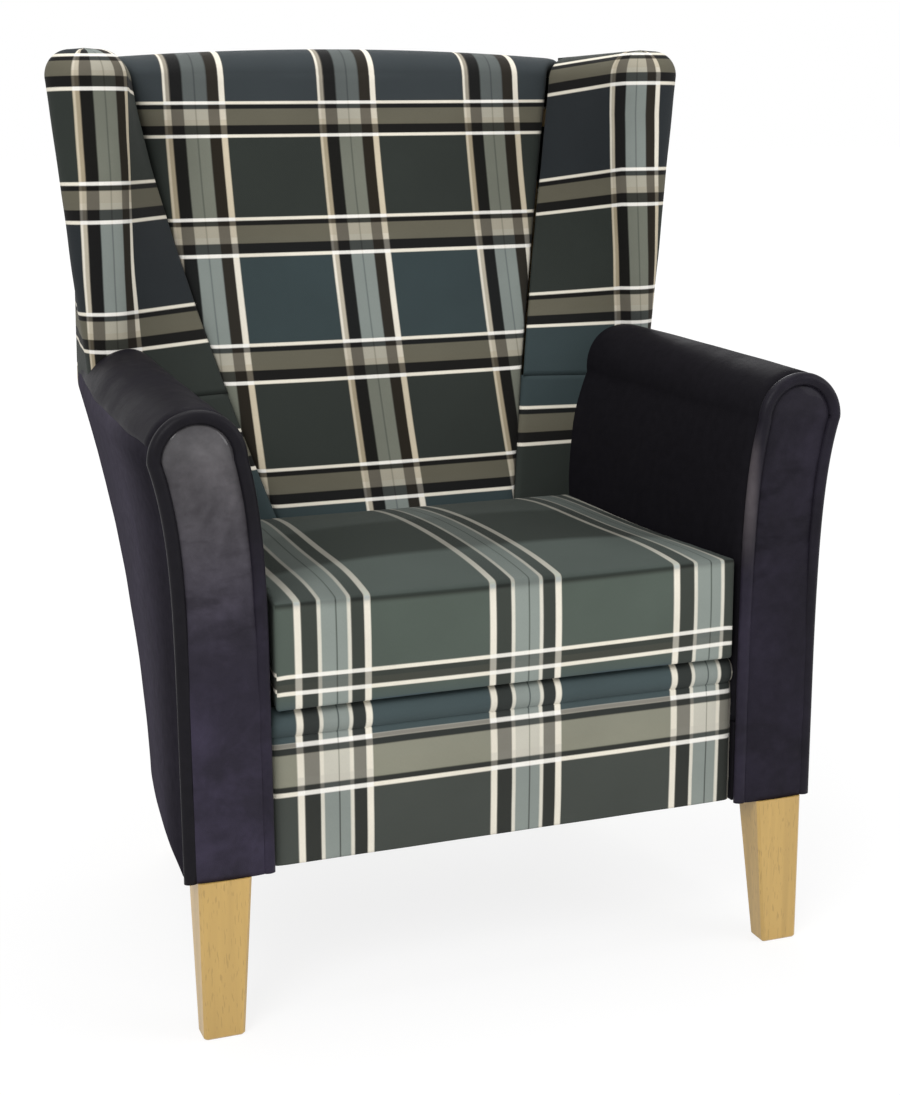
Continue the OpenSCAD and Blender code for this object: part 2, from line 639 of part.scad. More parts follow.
// Zigzag springs: one unbroken wire each, flat across the seat from rail to rail
wire_r = wire_dia / 2;
spring_first_y = front_rail_y + rail_t / 2;
spring_last_y = rear_rail_y + rail_t / 2;
spring_pitch = (spring_last_y - spring_first_y) / spring_bends;
bend_r = spring_pitch / 2;
spring_z = rail_top + wire_r + gap;
bar_half = spring_w / 2 - bend_r;
bend_steps = 4;
wire_sides = 6;
function bend_side(i) = i % 2 == 0 ? 1 : -1;
spring_line = concat(
  [[-bar_half, 0]],
  [for (i = [0 : spring_bends - 1]) for (k = span(bend_steps)) let (a = 180 * k - 90)
    [bend_side(i) * (bar_half + bend_r * cos(a)), (i + 1 / 2) * spring_pitch + bend_r * sin(a)]],
  [[-bend_side(spring_bends - 1) * bar_half, spring_bends * spring_pitch]]);
module seat_spring() {
  n = len(spring_line);
  translate([0, spring_first_y, spring_z])
    tube([for (i = [0 : n - 1])
      let (t = unit2(spring_line[min(i + 1, n - 1)] - spring_line[max(i - 1, 0)]), side = [t.y, -t.x])
      [for (k = [0 : wire_sides - 1]) let (a = 360 * (k + 1 / 2) / wire_sides, s = wire_r * cos(a))
        [spring_line[i].x + s * side.x, spring_line[i].y + s * side.y, -wire_r * sin(a)]]]);
}
spring_side = post_in - spring_w / 2 - rail_t / 2;
spring_xs = [for (s = span(spring_count - 1)) spring_side * (2 * s - 1)];
module seat_springs() color("#8d9093") placed() for (x = spring_xs) translate([x, 0, 0]) seat_spring();

// Spring clips: a plate on the rail and a hook over the wire's end bar
clip_l = 16;
clip_t = 1.2;
clip_plate_d = 9;
module spring_clip(flip) mirror([0, flip, 0]) translate([-clip_l / 2, 0, spring_z]) {
  hook_in = wire_r + gap / 2;
  hook_out = hook_in + clip_t;
  rotate([0, 90, 0]) difference() {
    cylinder(r = hook_out, h = clip_l);
    translate([0, 0, -over]) cylinder(r = hook_in, h = clip_l + 2 * over);
    translate([0, -hook_out - over, -over])
      cube([hook_out + over, 2 * (hook_out + over), clip_l + 2 * over]);
  }
  translate([0, -hook_out, -wire_r - gap]) cube([clip_l, clip_t, wire_r + gap]);
  translate([0, -hook_out - clip_plate_d + clip_t, -wire_r - gap])
    cube([clip_l, clip_plate_d, clip_t]);
}
module spring_clips() color("#6f7477") placed() for (x = spring_xs) {
  translate([x, spring_first_y, 0]) spring_clip(0);
  translate([x, spring_last_y, 0]) spring_clip(1);
}

// Spring cover and platform pad, shaped to the space between the arms
deck_edge = 2;
clip_top = spring_z + wire_r + gap / 2 + clip_t;
spring_cover_t = 1.5;
platform_z = clip_top + spring_cover_t + 2 * gap;
function deck_half(y) = arm_in(arm_t(y, arm_low), arm_low) - deck_edge;
platform_front = border_inset + 2 * border_roll_r + gap;
platform_back = lumbar_d + tuck_d;
module deck_outline(y0, y1) polygon([
  [-deck_half(y0), y0], [deck_half(y0), y0], [deck_half(y1), y1], [-deck_half(y1), y1]]);
module spring_cover() color("#7b6b4d") placed()
  translate([0, 0, clip_top + gap]) linear_extrude(height = spring_cover_t)
    deck_outline(platform_front, spring_last_y);
module seat_platform() color("#26282a") placed()
  translate([0, 0, platform_z]) linear_extrude(height = deck_h - gap - platform_z)
    deck_outline(platform_front, platform_back);

// Dust cover under the seat frame, cut round the leg blocks
dust_in = panel_t + 2 * gap;
module dust_cover() color("#1b1b1c") placed()
  translate([0, 0, leg_h]) linear_extrude(height = cover_t) difference() {
    polygon([[-side_rail_out - rail_t, front_rail_y], [side_rail_out + rail_t, front_rail_y],
             [post_out, outside_y(leg_h) - dust_in], [-post_out, outside_y(leg_h) - dust_in]]);
    for (s = [0, 1]) mirror([s, 0]) {
      translate([arm_post_x - gap, 0])
        square([front_block_out - arm_post_x + 2 * gap, leg_inset + leg_top_d + gap]);
      translate([post_in - gap, post_y(leg_h) - gap]) square([post_w + 2 * gap, post_d + rail_t]);
    }
  }

// Arm frame: a front post on the leg block and a rail back to the upright
arm_post_w = 40;
arm_post_d = 30;
arm_post_y = body_front + gap;
module arm_post() translate([arm_post_x, arm_post_y, leg_h + block_t + gap])
  cube([arm_post_w, arm_post_d, arm_rail_z - leg_h - block_t - 2 * gap]);
module arm_post_left() color("#c9a873") placed() left_side() arm_post();
module arm_post_right() color("#c9a873") placed() arm_post();
arm_rail_rear_y = post_y(arm_rail_z) - arm_rail_t / 2;
arm_rail_rear_x = arm_in(arm_t(arm_rail_rear_y, arm_spring_z), arm_spring_z)
  + arm_foam_t + cover_t + 3 * gap;
module arm_rail() translate([0, 0, arm_rail_z]) linear_extrude(height = arm_rail_t)
  polygon([[arm_post_x, arm_post_y], [arm_post_x + arm_rail_w, arm_post_y],
           [arm_rail_rear_x + arm_rail_w, post_y(arm_rail_z)],
           [post_out + gap, post_y(arm_rail_z) + post_d - gap],
           [post_out + gap, post_y(arm_rail_z) + arm_rail_t / 2],
           [arm_rail_rear_x, arm_rail_rear_y]]);
module arm_rail_left() color("#c9a873") placed() left_side() arm_rail();
module arm_rail_right() color("#c9a873") placed() arm_rail();

// Back frame: raked uprights, rails between them and webbing across their fronts
post_top = back_spring_z - crest_drop;
module side_profile(x, w) translate([x + w, 0, 0]) rotate([90, 0, -90]) mirror([1, 0, 0])
  linear_extrude(height = w) children();
module back_upright() side_profile(post_in, post_w)
  polygon([for (p = [[0, leg_h + block_t + gap], [0, post_top], [post_d, post_top],
                     [post_d, leg_h + block_t + gap]]) [post_y(p.y) + p.x, p.y]]);
module back_upright_left() color("#c9a873") placed() left_side() back_upright();
module back_upright_right() color("#c9a873") placed() back_upright();
module back_rail(z, h) side_profile(-post_in + gap, 2 * (post_in - gap))
  polygon([for (p = [[0, z], [0, z + h], [rail_t, z + h], [rail_t, z]])
    [post_y(p.y) + gap + p.x, p.y]]);
top_rail_h = 60;
lower_rail_h = 50;
module back_top_rail() color("#c9a873") placed() back_rail(post_top - top_rail_h, top_rail_h);
module back_lower_rail() color("#c9a873") placed() back_rail(tuck_z, lower_rail_h);
web_zs = [for (v = span(web_count - 1))
  mix(tuck_z + lower_rail_h + web_w / 2, post_top - top_rail_h - web_w, v)];
module back_webbing() color("#8a6f4a") placed() for (z = web_zs)
  side_profile(-post_out, 2 * post_out)
    polygon([for (p = [[-web_t, z], [-web_t, z + web_w], [0, z + web_w], [0, z]])
      [post_y(p.y) + p.x, p.y]]);

// Wing frame: a post from the arm rail up inside the roll, and a rail back to the upright
wing_frame_top = wing_shoulder_z - wing_round_w;
module wing_post() translate([wing_post_x, wing_post_y, arm_rail_top + gap])
  cube([wing_post_w, wing_post_d, wing_frame_top - arm_rail_top - gap]);
module wing_post_left() color("#c9a873") placed() left_side() wing_post();
module wing_post_right() color("#c9a873") placed() wing_post();
wing_rail_t = 22;
wing_rail_w = 24;
wing_rail_z = wing_frame_top - 2 * wing_rail_t;
wing_rail_bend_x = outside_top_w / 2 - wing_foam_t - rail_t / 2;
module wing_rail_form(g) translate([0, 0, wing_rail_z - g])
  linear_extrude(height = wing_rail_t + 2 * g)
    polygon([[wing_post_x - g, wing_post_y + wing_post_d + gap],
             [wing_post_x + wing_rail_w + g, wing_post_y + wing_post_d + gap],
             [wing_rail_bend_x + g, crest_d + wing_rail_w],
             [post_out + gap, post_y(wing_rail_z) + post_d - gap],
             [post_out + gap, post_y(wing_rail_z) + wing_rail_t / 2 - g],
             [wing_rail_bend_x - wing_rail_w - g, crest_d + wing_rail_w / 2 - g]]);
module wing_rail() wing_rail_form(0);
module wing_rail_left() color("#c9a873") placed() left_side() wing_rail();
module wing_rail_right() color("#c9a873") placed() wing_rail();

// Loose cushion: a across it from -1 to 1, b from its front to its back
cushion_back = lumbar_d - cushion_back_gap;
cushion_top = deck_h + cushion_t;
zip_gap = gap;
function cushion_half(y) =
  arm_in(arm_t(y, deck_h), deck_h) - cushion_side_gap
  - cushion_draw * sin(180 * (y - cushion_inset) / (cushion_back - cushion_inset));
function cushion_xy(a, b, d) =
  let (y = mix(cushion_inset + d, cushion_back - d, b), bow = cushion_draw * (1 - a * a))
  [a * (cushion_half(y) - d), y + (b < 1 / 2 ? bow : -bow) * abs(1 - 2 * b)];
function cushion_rise(a, b) =
  cushion_crown * (1 - pow(abs(a), 4)) * (1 - pow(abs(2 * b - 1), 4));
as = [for (s = span(cushion_columns)) 2 * s - 1];
bs = span(cushion_rows);
function cushion_face(d, z, crown) =
  [for (b = bs) [for (a = as) let (p = cushion_xy(a, b, d)) [p.x, p.y, z + crown * cushion_rise(a, b)]]];
skin_in = cover_t + gap;
module cushion_foam() color("#d8cfa8") placed()
  slab(cushion_face(skin_in, deck_h + skin_in, 0), cushion_face(skin_in, cushion_top - skin_in, 1));
module cushion_top_panel() color("#454f4e") placed()
  slab(cushion_face(0, cushion_top - cover_t, 1), cushion_face(0, cushion_top, 1));
module cushion_base_panel() color("#2a2d2f") placed()
  slab(cushion_face(0, deck_h, 0), cushion_face(0, deck_h + cover_t, 0));

// The cushion's border: front and sides in one strip, and a strip with the zip across the back
function border_path(d) = concat(
  [for (i = [cushion_rows - 1 : -1 : 1]) cushion_xy(-1, bs[i], d)],
  [for (a = as) cushion_xy(a, 0, d)],
  [for (i = [1 : cushion_rows - 1]) cushion_xy(1, bs[i], d)]);
function zip_path(d) = concat(
  [mix(cushion_xy(1, bs[cushion_rows - 1], d), cushion_xy(1, 1, d), zip_gap)],
  [for (i = [cushion_columns : -1 : 0]) cushion_xy(as[i], 1, d)],
  [mix(cushion_xy(-1, bs[cushion_rows - 1], d), cushion_xy(-1, 1, d), zip_gap)]);
border_zs = [deck_h + cover_t + gap, cushion_top - cover_t - gap];
module strip(outer, inner) slab(
  [for (z = border_zs) [for (p = inner) [p.x, p.y, z]]],
  [for (z = border_zs) [for (p = outer) [p.x, p.y, z]]]);
module cushion_border() color("#454f4e") placed() strip(border_path(0), border_path(cover_t));
module cushion_zip_border() color("#2f3638") placed() strip(zip_path(0), zip_path(cover_t));

front_border_cover();
border_foam();
front_rail();
rear_rail();
side_rail_left();
side_rail_right();
leg_blocks();
front_leg_left();
front_leg_right();
rear_leg_left();
rear_leg_right();
leg_bolts();
tee_nuts();
seat_springs();
spring_clips();
spring_cover();
seat_platform();
dust_cover();
arm_post_left();
arm_post_right();
arm_rail_left();
arm_rail_right();
back_upright_left();
back_upright_right();
back_top_rail();
back_lower_rail();
back_webbing();
wing_post_left();
wing_post_right();
wing_rail_left();
wing_rail_right();
arm_foam_left();
arm_foam_right();
arm_cover_left();
arm_cover_right();
outside_arm_left();
outside_arm_right();
arm_facing_left();
arm_facing_right();
facing_roll_left();
facing_roll_right();
back_foam();
inside_back_cover();
outside_back();
wing_foam_left();
wing_foam_right();
wing_cover_left();
wing_cover_right();
wing_tuck_left();
wing_tuck_right();
cushion_foam();
cushion_top_panel();
cushion_base_panel();
cushion_border();
cushion_zip_border();
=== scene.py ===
"""Fireside wing chair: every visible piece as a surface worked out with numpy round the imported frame.

Lengths are metres. X is across the chair, the chair faces -Y, Z is up. A depth y counts from the arm
fronts, and place() moves it to the frame, whose origin is under the middle of the chair. In the surfaces
s holds the sizes, d is how far a surface lies inside the cover's outer face, and t is 0 to 1 from front to
back.
"""

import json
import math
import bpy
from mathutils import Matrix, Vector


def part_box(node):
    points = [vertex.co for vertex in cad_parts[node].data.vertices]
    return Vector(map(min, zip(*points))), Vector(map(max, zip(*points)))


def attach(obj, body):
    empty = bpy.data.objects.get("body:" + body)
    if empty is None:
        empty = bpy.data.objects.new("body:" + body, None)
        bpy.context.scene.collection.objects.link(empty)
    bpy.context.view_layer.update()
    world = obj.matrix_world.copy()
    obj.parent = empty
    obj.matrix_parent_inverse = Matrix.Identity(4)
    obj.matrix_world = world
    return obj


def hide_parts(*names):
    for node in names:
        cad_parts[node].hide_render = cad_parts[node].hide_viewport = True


bl_info = {
    "name": "Fireside Wing Chair",
    "version": (1, 0, 0),
    "blender": (4, 5, 0),
    "location": "View3D > Sidebar > Fireside Chair",
    "description": "Builds the upholstery, finishes and studio for the fireside wing chair",
    "category": "Object",
}

from types import SimpleNamespace

import bpy
import numpy as np
from mathutils import Matrix

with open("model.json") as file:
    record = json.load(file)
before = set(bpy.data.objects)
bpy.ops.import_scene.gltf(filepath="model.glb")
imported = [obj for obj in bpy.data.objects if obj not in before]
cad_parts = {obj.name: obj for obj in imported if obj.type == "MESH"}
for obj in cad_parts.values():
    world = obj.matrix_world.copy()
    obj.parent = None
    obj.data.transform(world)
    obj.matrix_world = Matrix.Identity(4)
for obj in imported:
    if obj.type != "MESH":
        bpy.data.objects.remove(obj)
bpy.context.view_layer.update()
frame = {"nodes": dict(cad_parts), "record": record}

CHAIR = "chair"
CUSHION = "seat_cushion"
SIDES = (("left", -1), ("right", 1))


# Sizes and colours


def length(name, text, default):
    """A length property in metres."""
    return bpy.props.FloatProperty(
        name=name, description=text, default=default, min=0.0, soft_max=2.0, precision=4, unit="LENGTH")


def colour(name, text, default):
    """A colour property, written in linear light."""
    return bpy.props.FloatVectorProperty(
        name=name, description=text, default=default, size=3, subtype="COLOR", min=0.0, max=1.0)


class FiresideSizes(bpy.types.PropertyGroup):
    """Sizes that the upholstery follows, the same as the solids'."""

    back_h: length("Back height", "Height of the top of the back above the floor", 0.991)
    body_d: length("Depth", "Depth from the arm fronts to the back of the top edge", 0.630)
    wing_w: length("Width over the wings", "Width across the wings at their widest", 0.772)
    arms_w: length("Width over the arms", "Width across the arms at their feet", 0.712)
    seat_w: length("Seat width", "Width between the arms at the front", 0.524)
    leg_h: length("Leg height", "Height of the legs", 0.170)
    arm_h: length("Arm height", "Height of the arm at its front", 0.646)
    arm_cap_h: length("Arm top", "Height of the rounded top of the arm", 0.049)
    deck_h: length("Deck height", "Height of the underside of the cushion", 0.336)
    cushion_t: length("Cushion height", "Height of the cushion's top edge above its underside", 0.114)
    bead_r: length("Rolled edge", "Radius of the rolled edge round the arm fronts", 0.007)
    puff: length("Cushion puff", "Farthest that the cushion's faces may swell", 0.014)
    seam_d: length("Seam depth", "How far a covered edge sinks at a seam", 0.005)


class FiresideCloth(bpy.types.PropertyGroup):
    """Colours of the plaid, the dark covers and the wood."""

    ground_green: colour("Charcoal green", "Ground of every other panel", (0.027, 0.032, 0.028))
    ground_blue: colour("Slate blue", "Ground of the panels between", (0.036, 0.052, 0.055))
    cream: colour("Cream", "The thin lines", (0.80, 0.75, 0.64))
    taupe: colour("Taupe", "The band across", (0.125, 0.116, 0.084))
    tan: colour("Tan", "Where a pale stripe crosses the band", (0.52, 0.47, 0.37))
    grey: colour("Grey green", "The middle of the stripe", (0.245, 0.275, 0.255))
    black: colour("Black", "The dark bands", (0.006, 0.0055, 0.005))
    # painted light: a lighter copy of the charcoal green for the cushion's front
    seat_green: colour("Seat green", "Ground of the cushion's front", (0.050, 0.066, 0.055))
    seat_dark: colour("Seat dark", "Band across the cushion's top", (0.018, 0.023, 0.019))
    leather: colour("Near black", "The arm covers", (0.0095, 0.0088, 0.0110))
    bloom: colour("Aubergine bloom", "The lighter mottling of the arm fronts", (0.042, 0.035, 0.060))
    # painted light: a paler grey towards the top of the arm fronts, where they catch the light
    painted_top_light: colour("Lit grey", "The lit top of the arm fronts", (0.105, 0.099, 0.105))
    beech: colour("Beech", "The lacquered legs", (0.56, 0.36, 0.108))
    warp_repeat: length("Repeat across", "Distance between stripes", 0.210)
    weft_repeat: length("Repeat up", "Distance between bands", 0.141)


def sizes():
    """The size properties as plain numbers, with the fixed sizes and the heights worked out from them."""
    owner = bpy.context.scene.fireside_sizes
    s = SimpleNamespace(**{key: float(getattr(owner, key)) for key in FiresideSizes.__annotations__})
    # the gap between neighbours, and the thickness of the outside back's panel
    s.gap, s.panel_t = 0.0003, 0.0034
    # the arms at the rear: half widths at the foot, and how much more the rounded top rises than in front
    s.rear_out, s.rear_in, s.cap_gain = 0.286, 0.202, 0.014
    # how far the arm's faces flare over the climb, in front and at the rear, and the bow of its outer side
    s.flare_out, s.rear_flare_out, s.arm_bow = 0.020, 0.058, 0.012
    s.flare_in, s.rear_flare_in = 0.016, 0.060
    # the rolled top of the back: its height, and how far it drops towards the wings
    s.crest_h, s.crest_drop = 0.033, 0.011
    # the back's seams by the cushion (lumbar) and at the top (crest)
    s.lumbar_h, s.lumbar_d, s.lumbar_w = 0.441, 0.366, 0.296
    s.crest_d, s.crest_w, s.outside_top_w = 0.547, 0.538, 0.650
    # the wing's front roll, its height and the height of the dome on it
    s.wing_d, s.wing_roll_d, s.wing_h, s.wing_dome = 0.430, 0.028, 0.987, 0.030
    # the slope of the outside back, and the height of the seat rails
    s.rake = math.tan(math.radians(9.25))
    s.rail_h = 0.0923
    # where the rounded top of the arm, the roll of the back and the dome of the wing begin
    s.arm_spring = s.arm_h - s.arm_cap_h
    s.back_spring = s.back_h - s.crest_h
    s.wing_shoulder = s.wing_h - s.wing_dome
    s.front = 2 * s.bead_r + s.gap
    s.tuck_z = s.deck_h + s.crest_drop
    s.rail_top = s.leg_h + s.rail_h
    return s


# The chair's forms


def mix(a, b, t):
    """The value a share t of the way from a to b."""
    return a + (b - a) * t


def smooth(t):
    """A soft step from 0 to 1: three t squared less two t cubed, held at its ends."""
    t = np.clip(t, 0.0, 1.0)
    return t * t * (3 - 2 * t)


def climb(s, z):
    """Share of the way from the arm's foot to the start of its rounded top."""
    return np.clip((z - s.leg_h) / (s.arm_spring - s.leg_h), 0, 1)


def outside_y(s, z):
    """Depth of the outside back's sloping plane at a height."""
    return s.body_d - (s.back_spring - z) * s.rake


def arm_end_y(s, z):
    """Depth at which the arm meets the outside back."""
    return outside_y(s, z) - s.panel_t - s.gap


def arm_out(s, t, z):
    """Half width to the arm's outer face: a flare by a power of the climb, and a sine bow along it."""
    front = s.arms_w / 2 + s.flare_out * climb(s, z) ** 6.5
    rear = s.rear_out + s.rear_flare_out * climb(s, z) ** 1.7
    return mix(front, rear, t) + s.arm_bow * np.sin(np.pi * t)


def arm_in(s, t, z):
    """Half width to the arm's inner face, flared the same way."""
    front = s.seat_w / 2 + s.flare_in * climb(s, z) ** 6.5
    rear = s.rear_in + s.rear_flare_in * climb(s, z) ** 3.8
    return mix(front, rear, t)


def arm_section(s, t, u, d, low):
    """The arm's outline across the chair, moved in by d: u is 0 to 1 up the outer face, 1 to 2 over half an
    ellipse, and 2 to 3 down inside."""
    z_out = mix(low, s.arm_spring, np.clip(u, 0, 1))
    z_in = mix(s.arm_spring, low, np.clip(u - 2, 0, 1))
    outer, inner = arm_out(s, t, s.arm_spring), arm_in(s, t, s.arm_spring)
    a = np.pi * np.clip(u - 1, 0, 1)
    cap = s.arm_cap_h + s.cap_gain * t
    x_top = (outer + inner) / 2 + ((outer - inner) / 2 - d) * np.cos(a)
    x = np.where(u < 1, arm_out(s, t, z_out) - d, np.where(u > 2, arm_in(s, t, z_in) + d, x_top))
    z = np.where(u < 1, z_out, np.where(u > 2, z_in, s.arm_spring + (cap - d) * np.sin(a)))
    return x, z


def back_share(s, z):
    """Share of the way up the inside back."""
    return np.clip((z - s.lumbar_h) / (s.back_h - s.crest_drop - s.lumbar_h), 0, 1)


def seam_half(s, z):
    """Half width between the wing seams, widening fast at first."""
    return mix(s.lumbar_w, s.crest_w, 1 - (1 - back_share(s, z)) ** 1.25) / 2


def seam_y(s, z):
    """Depth of the wing seam, leaning back fast at first, with a tuck below the cushion's top."""
    tuck, tuck_d = np.maximum(0, (s.lumbar_h - z) / (s.lumbar_h - s.tuck_z)), 0.022
    return mix(s.lumbar_d, s.crest_d, 1 - (1 - back_share(s, z)) ** 1.6) + tuck_d * tuck**2


def outside_half(s, z):
    """Half width of the outside back: the arm's outer edge below, a straight taper out to its top above."""
    way = (z - s.arm_spring) / (s.back_h - s.arm_spring)
    above = mix(arm_out(s, 1, s.arm_spring), s.outside_top_w / 2, way)
    return np.where(z <= s.arm_spring, arm_out(s, 1, z), above)


def place(s, x, y, z):
    """Stacks coordinates into points, with the depth counted from the middle of the body."""
    return stack(x, y - s.body_d / 2, z)


def stack(*parts):
    """Coordinates of any matching shapes as points."""
    return np.stack(np.broadcast_arrays(*(np.asarray(part, float) for part in parts)), -1)


def along(points, axis):
    """Distance run along a grid's rows or columns."""
    step = np.linalg.norm(np.diff(points, axis=axis), axis=-1)
    zero = np.zeros_like(np.take(step, [0], axis=axis))
    return np.concatenate([zero, np.cumsum(step, axis=axis)], axis=axis)


# Meshes


def quads(rows, cols, start=0, flip=False):
    """Four-cornered faces of a grid whose points run along its rows."""
    i = np.arange(rows * cols).reshape(rows, cols) + start
    q = np.stack([i[:-1, :-1], i[:-1, 1:], i[1:, 1:], i[1:, :-1]], -1).reshape(-1, 4)
    return q[:, ::-1] if flip else q


def rim(rows, cols, n):
    """Faces that join the edges of a front grid to those of a matching back grid n points on."""
    i = np.arange(rows * cols).reshape(rows, cols)
    loop = np.concatenate([i[0, :-1], i[:-1, -1], i[-1, :0:-1], i[:0:-1, 0]])
    after = np.roll(loop, -1)
    return np.stack([after, loop, loop + n, after + n], -1)


def put(name, data):
    """A new object in the scene."""
    thing = bpy.data.objects.new(name, data)
    bpy.context.scene.collection.objects.link(thing)
    return thing


def read(items, key, width=1, kind=np.float32):
    """One property of all items of a mesh, as a row for each."""
    values = np.empty(len(items) * width, kind)
    items.foreach_get(key, values)
    return values.reshape(-1, width) if width > 1 else values


def write(items, key, values):
    """Sets one property of all items of a mesh."""
    items.foreach_set(key, np.asarray(values).astype(np.float32).ravel())


def new_mesh(name, points, faces, uv, body=CHAIR, flip=False):
    """An object at the origin with these points and faces and a cloth map in metres, riding on a body."""
    faces = faces[:, ::-1] if flip else faces
    mesh = bpy.data.meshes.new(name)
    mesh.from_pydata(np.asarray(points, float).reshape(-1, 3).tolist(), [], faces.tolist())
    layer = mesh.uv_layers.new(name="cloth")
    corner = read(mesh.loops, "vertex_index", kind=np.int32)
    write(layer.data, "uv", uv.reshape(-1, 2)[corner])
    mesh.polygons.foreach_set("use_smooth", np.full(len(mesh.polygons), True))
    mesh.validate()
    mesh.update()
    piece = put(name, mesh)
    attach(piece, body)
    return piece


def closed_pad(name, front, back, uv, flip=False, body=CHAIR):
    """A closed pad between a front grid of points and a matching back grid."""
    rows, cols = front.shape[:2]
    n = rows * cols
    faces = np.concatenate([quads(rows, cols), quads(rows, cols, n, flip=True), rim(rows, cols, n)])
    points = np.concatenate([front.reshape(-1, 3), back.reshape(-1, 3)])
    return new_mesh(name, points, faces, np.concatenate([uv.reshape(-1, 2)] * 2), body, flip=flip)


def wrapped(rows, cols):
    """Four-cornered faces of a grid whose rows are closed rings, and the numbers of its points."""
    i = np.arange(rows * cols).reshape(rows, cols)
    j = np.roll(i, -1, axis=1)
    return np.stack([i[:-1], j[:-1], j[1:], i[1:]], -1).reshape(-1, 4), i


def tube(name, rings, uv, flip=False):
    """A tube through rings of points, closed round and at both ends."""
    cols = rings.shape[1]
    side, i = wrapped(*rings.shape[:2])
    mid = cols // 2
    k = np.arange(mid - 1)
    strip = np.stack([k, k + 1, cols - 2 - k, cols - 1 - k], -1)
    caps = np.concatenate([i[0][strip[:, ::-1]], i[-1][strip]])
    return new_mesh(name, rings, np.concatenate([side, caps]), uv, flip=flip)


def finish_piece(piece, finish, slot, *nodes, padded=None):
    """Gives a piece its material and hides the solids that it stands for. The record slot is not used."""
    piece.data.materials.clear()
    piece.data.materials.append(finish)
    if nodes:
        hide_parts(*nodes)
    return piece


def sink(distance, reach, depth):
    """How far a covered edge falls away at a distance from its seam: a quarter ellipse over the reach."""
    e = np.clip(1 - distance / reach, 0, 1)
    return depth * (1 - np.sqrt(1 - e**2))


def ripple(a, b, size):
    """A soft uneven surface: a sum of four fixed sines over two directions."""
    broad = np.sin(31 * a + 1.3) * np.sin(23 * b + 0.4)
    fine = 0.5 * np.sin(57 * a + 47 * b) + 0.35 * np.sin(83 * b - 61 * a + 2.0)
    return size * (broad + fine) / 1.85


# Shader nodes


class Field:
    """What one socket gives over a surface. Sums and products of fields are Math nodes in the same tree."""

    def __init__(self, socket):
        self.socket, self.tree = socket, socket.id_data

    def math(self, operation, *others, clamp=False):
        """One Math node with this field first. The others are fields or numbers."""
        inputs = dict(enumerate((self, *others)))
        return out(add(self.tree, "Math", inputs, operation=operation, use_clamp=clamp))

    def __add__(self, other):
        return self.math("ADD", other)

    def __sub__(self, other):
        return self.math("SUBTRACT", other)

    def __rsub__(self, other):
        return self.math("MULTIPLY_ADD", -1.0, other)

    def __mul__(self, other):
        return self.math("MULTIPLY", other)

    def __truediv__(self, other):
        return self.math("DIVIDE", other)


def out(node, key=0):
    """One output of a node as a field."""
    return Field(node.outputs[key])


def fill(node, inputs):
    """Links or sets a node's inputs, by name or number. Each value is a field, a number or a colour."""
    for key, value in inputs.items():
        socket = node.inputs[key]
        if isinstance(value, Field):
            value.tree.links.new(value.socket, socket)
        elif socket.type == "RGBA":
            socket.default_value = (*value, 1)
        else:
            socket.default_value = value
    return node


def add(tree, kind, inputs=None, **settings):
    """A new shader node with its own settings and its inputs filled."""
    node = tree.nodes.new("ShaderNode" + kind)
    for key, value in settings.items():
        setattr(node, key, value)
    return fill(node, inputs or {})


def separate(vector):
    """The x, y and z of a vector."""
    return [Field(socket) for socket in add(vector.tree, "SeparateXYZ", {0: vector}).outputs]


def moved(vector, scale, offset=(0, 0, 0)):
    """A vector scaled and then moved."""
    return out(add(vector.tree, "Mapping", {"Vector": vector, "Scale": scale, "Location": offset}))


def noise(vector, **inputs):
    """The value of a Noise Texture."""
    return out(add(vector.tree, "TexNoise", {"Vector": vector, **inputs}), "Fac")


def span(value, start, end, first=0.0, last=1.0, kind="LINEAR"):
    """Goes from first to last while a value goes from start to end, and holds at both ends."""
    inputs = {"Value": value, "From Min": start, "From Max": end, "To Min": first, "To Max": last}
    return out(add(value.tree, "MapRange", inputs, interpolation_type=kind))


def fade(value, start, end, first=0.0, last=1.0):
    """The same with a soft start and end."""
    return span(value, start, end, first, last, "SMOOTHSTEP")


def brighten(shade, amount):
    """A colour times an amount."""
    return out(add(amount.tree, "VectorMath", {0: shade, "Scale": amount}, operation="SCALE"))


def mix_colour(factor, a, b, blend="MIX"):
    """One colour Mix node. Each value is a field or a constant."""
    tree = next(value.tree for value in (factor, a, b) if isinstance(value, Field))
    return out(add(tree, "Mix", {0: factor, 6: a, 7: b}, data_type="RGBA", blend_type=blend), 2)


def ramp(value, stops):
    """A Color Ramp from (place, (r, g, b, mask)) stops in order. Gives its colour and its mask."""
    node = add(value.tree, "ValToRGB", {0: value})
    elements = node.color_ramp.elements
    while len(elements) > 1:
        elements.remove(elements[-1])
    elements[0].position, elements[0].color = stops[0]
    for at, shade in stops[1:]:
        elements.new(at).color = shade
    return out(node, 0), out(node, 1)


def bands(edges, repeat, blur):
    """Ramp stops for bands that touch, as rows of (start, end, colour, strength) in metres, softly edged."""
    half = blur / repeat / 2
    stops = [(max(edges[0][0] / repeat - half, 0.0), (*edges[0][2], 0.0))]
    for start, end, shade, strength in edges:
        stops += [(start / repeat + half, (*shade, strength)), (end / repeat - half, (*shade, strength))]
    return [*stops, (edges[-1][1] / repeat + half, (*edges[-1][2], 0.0))]


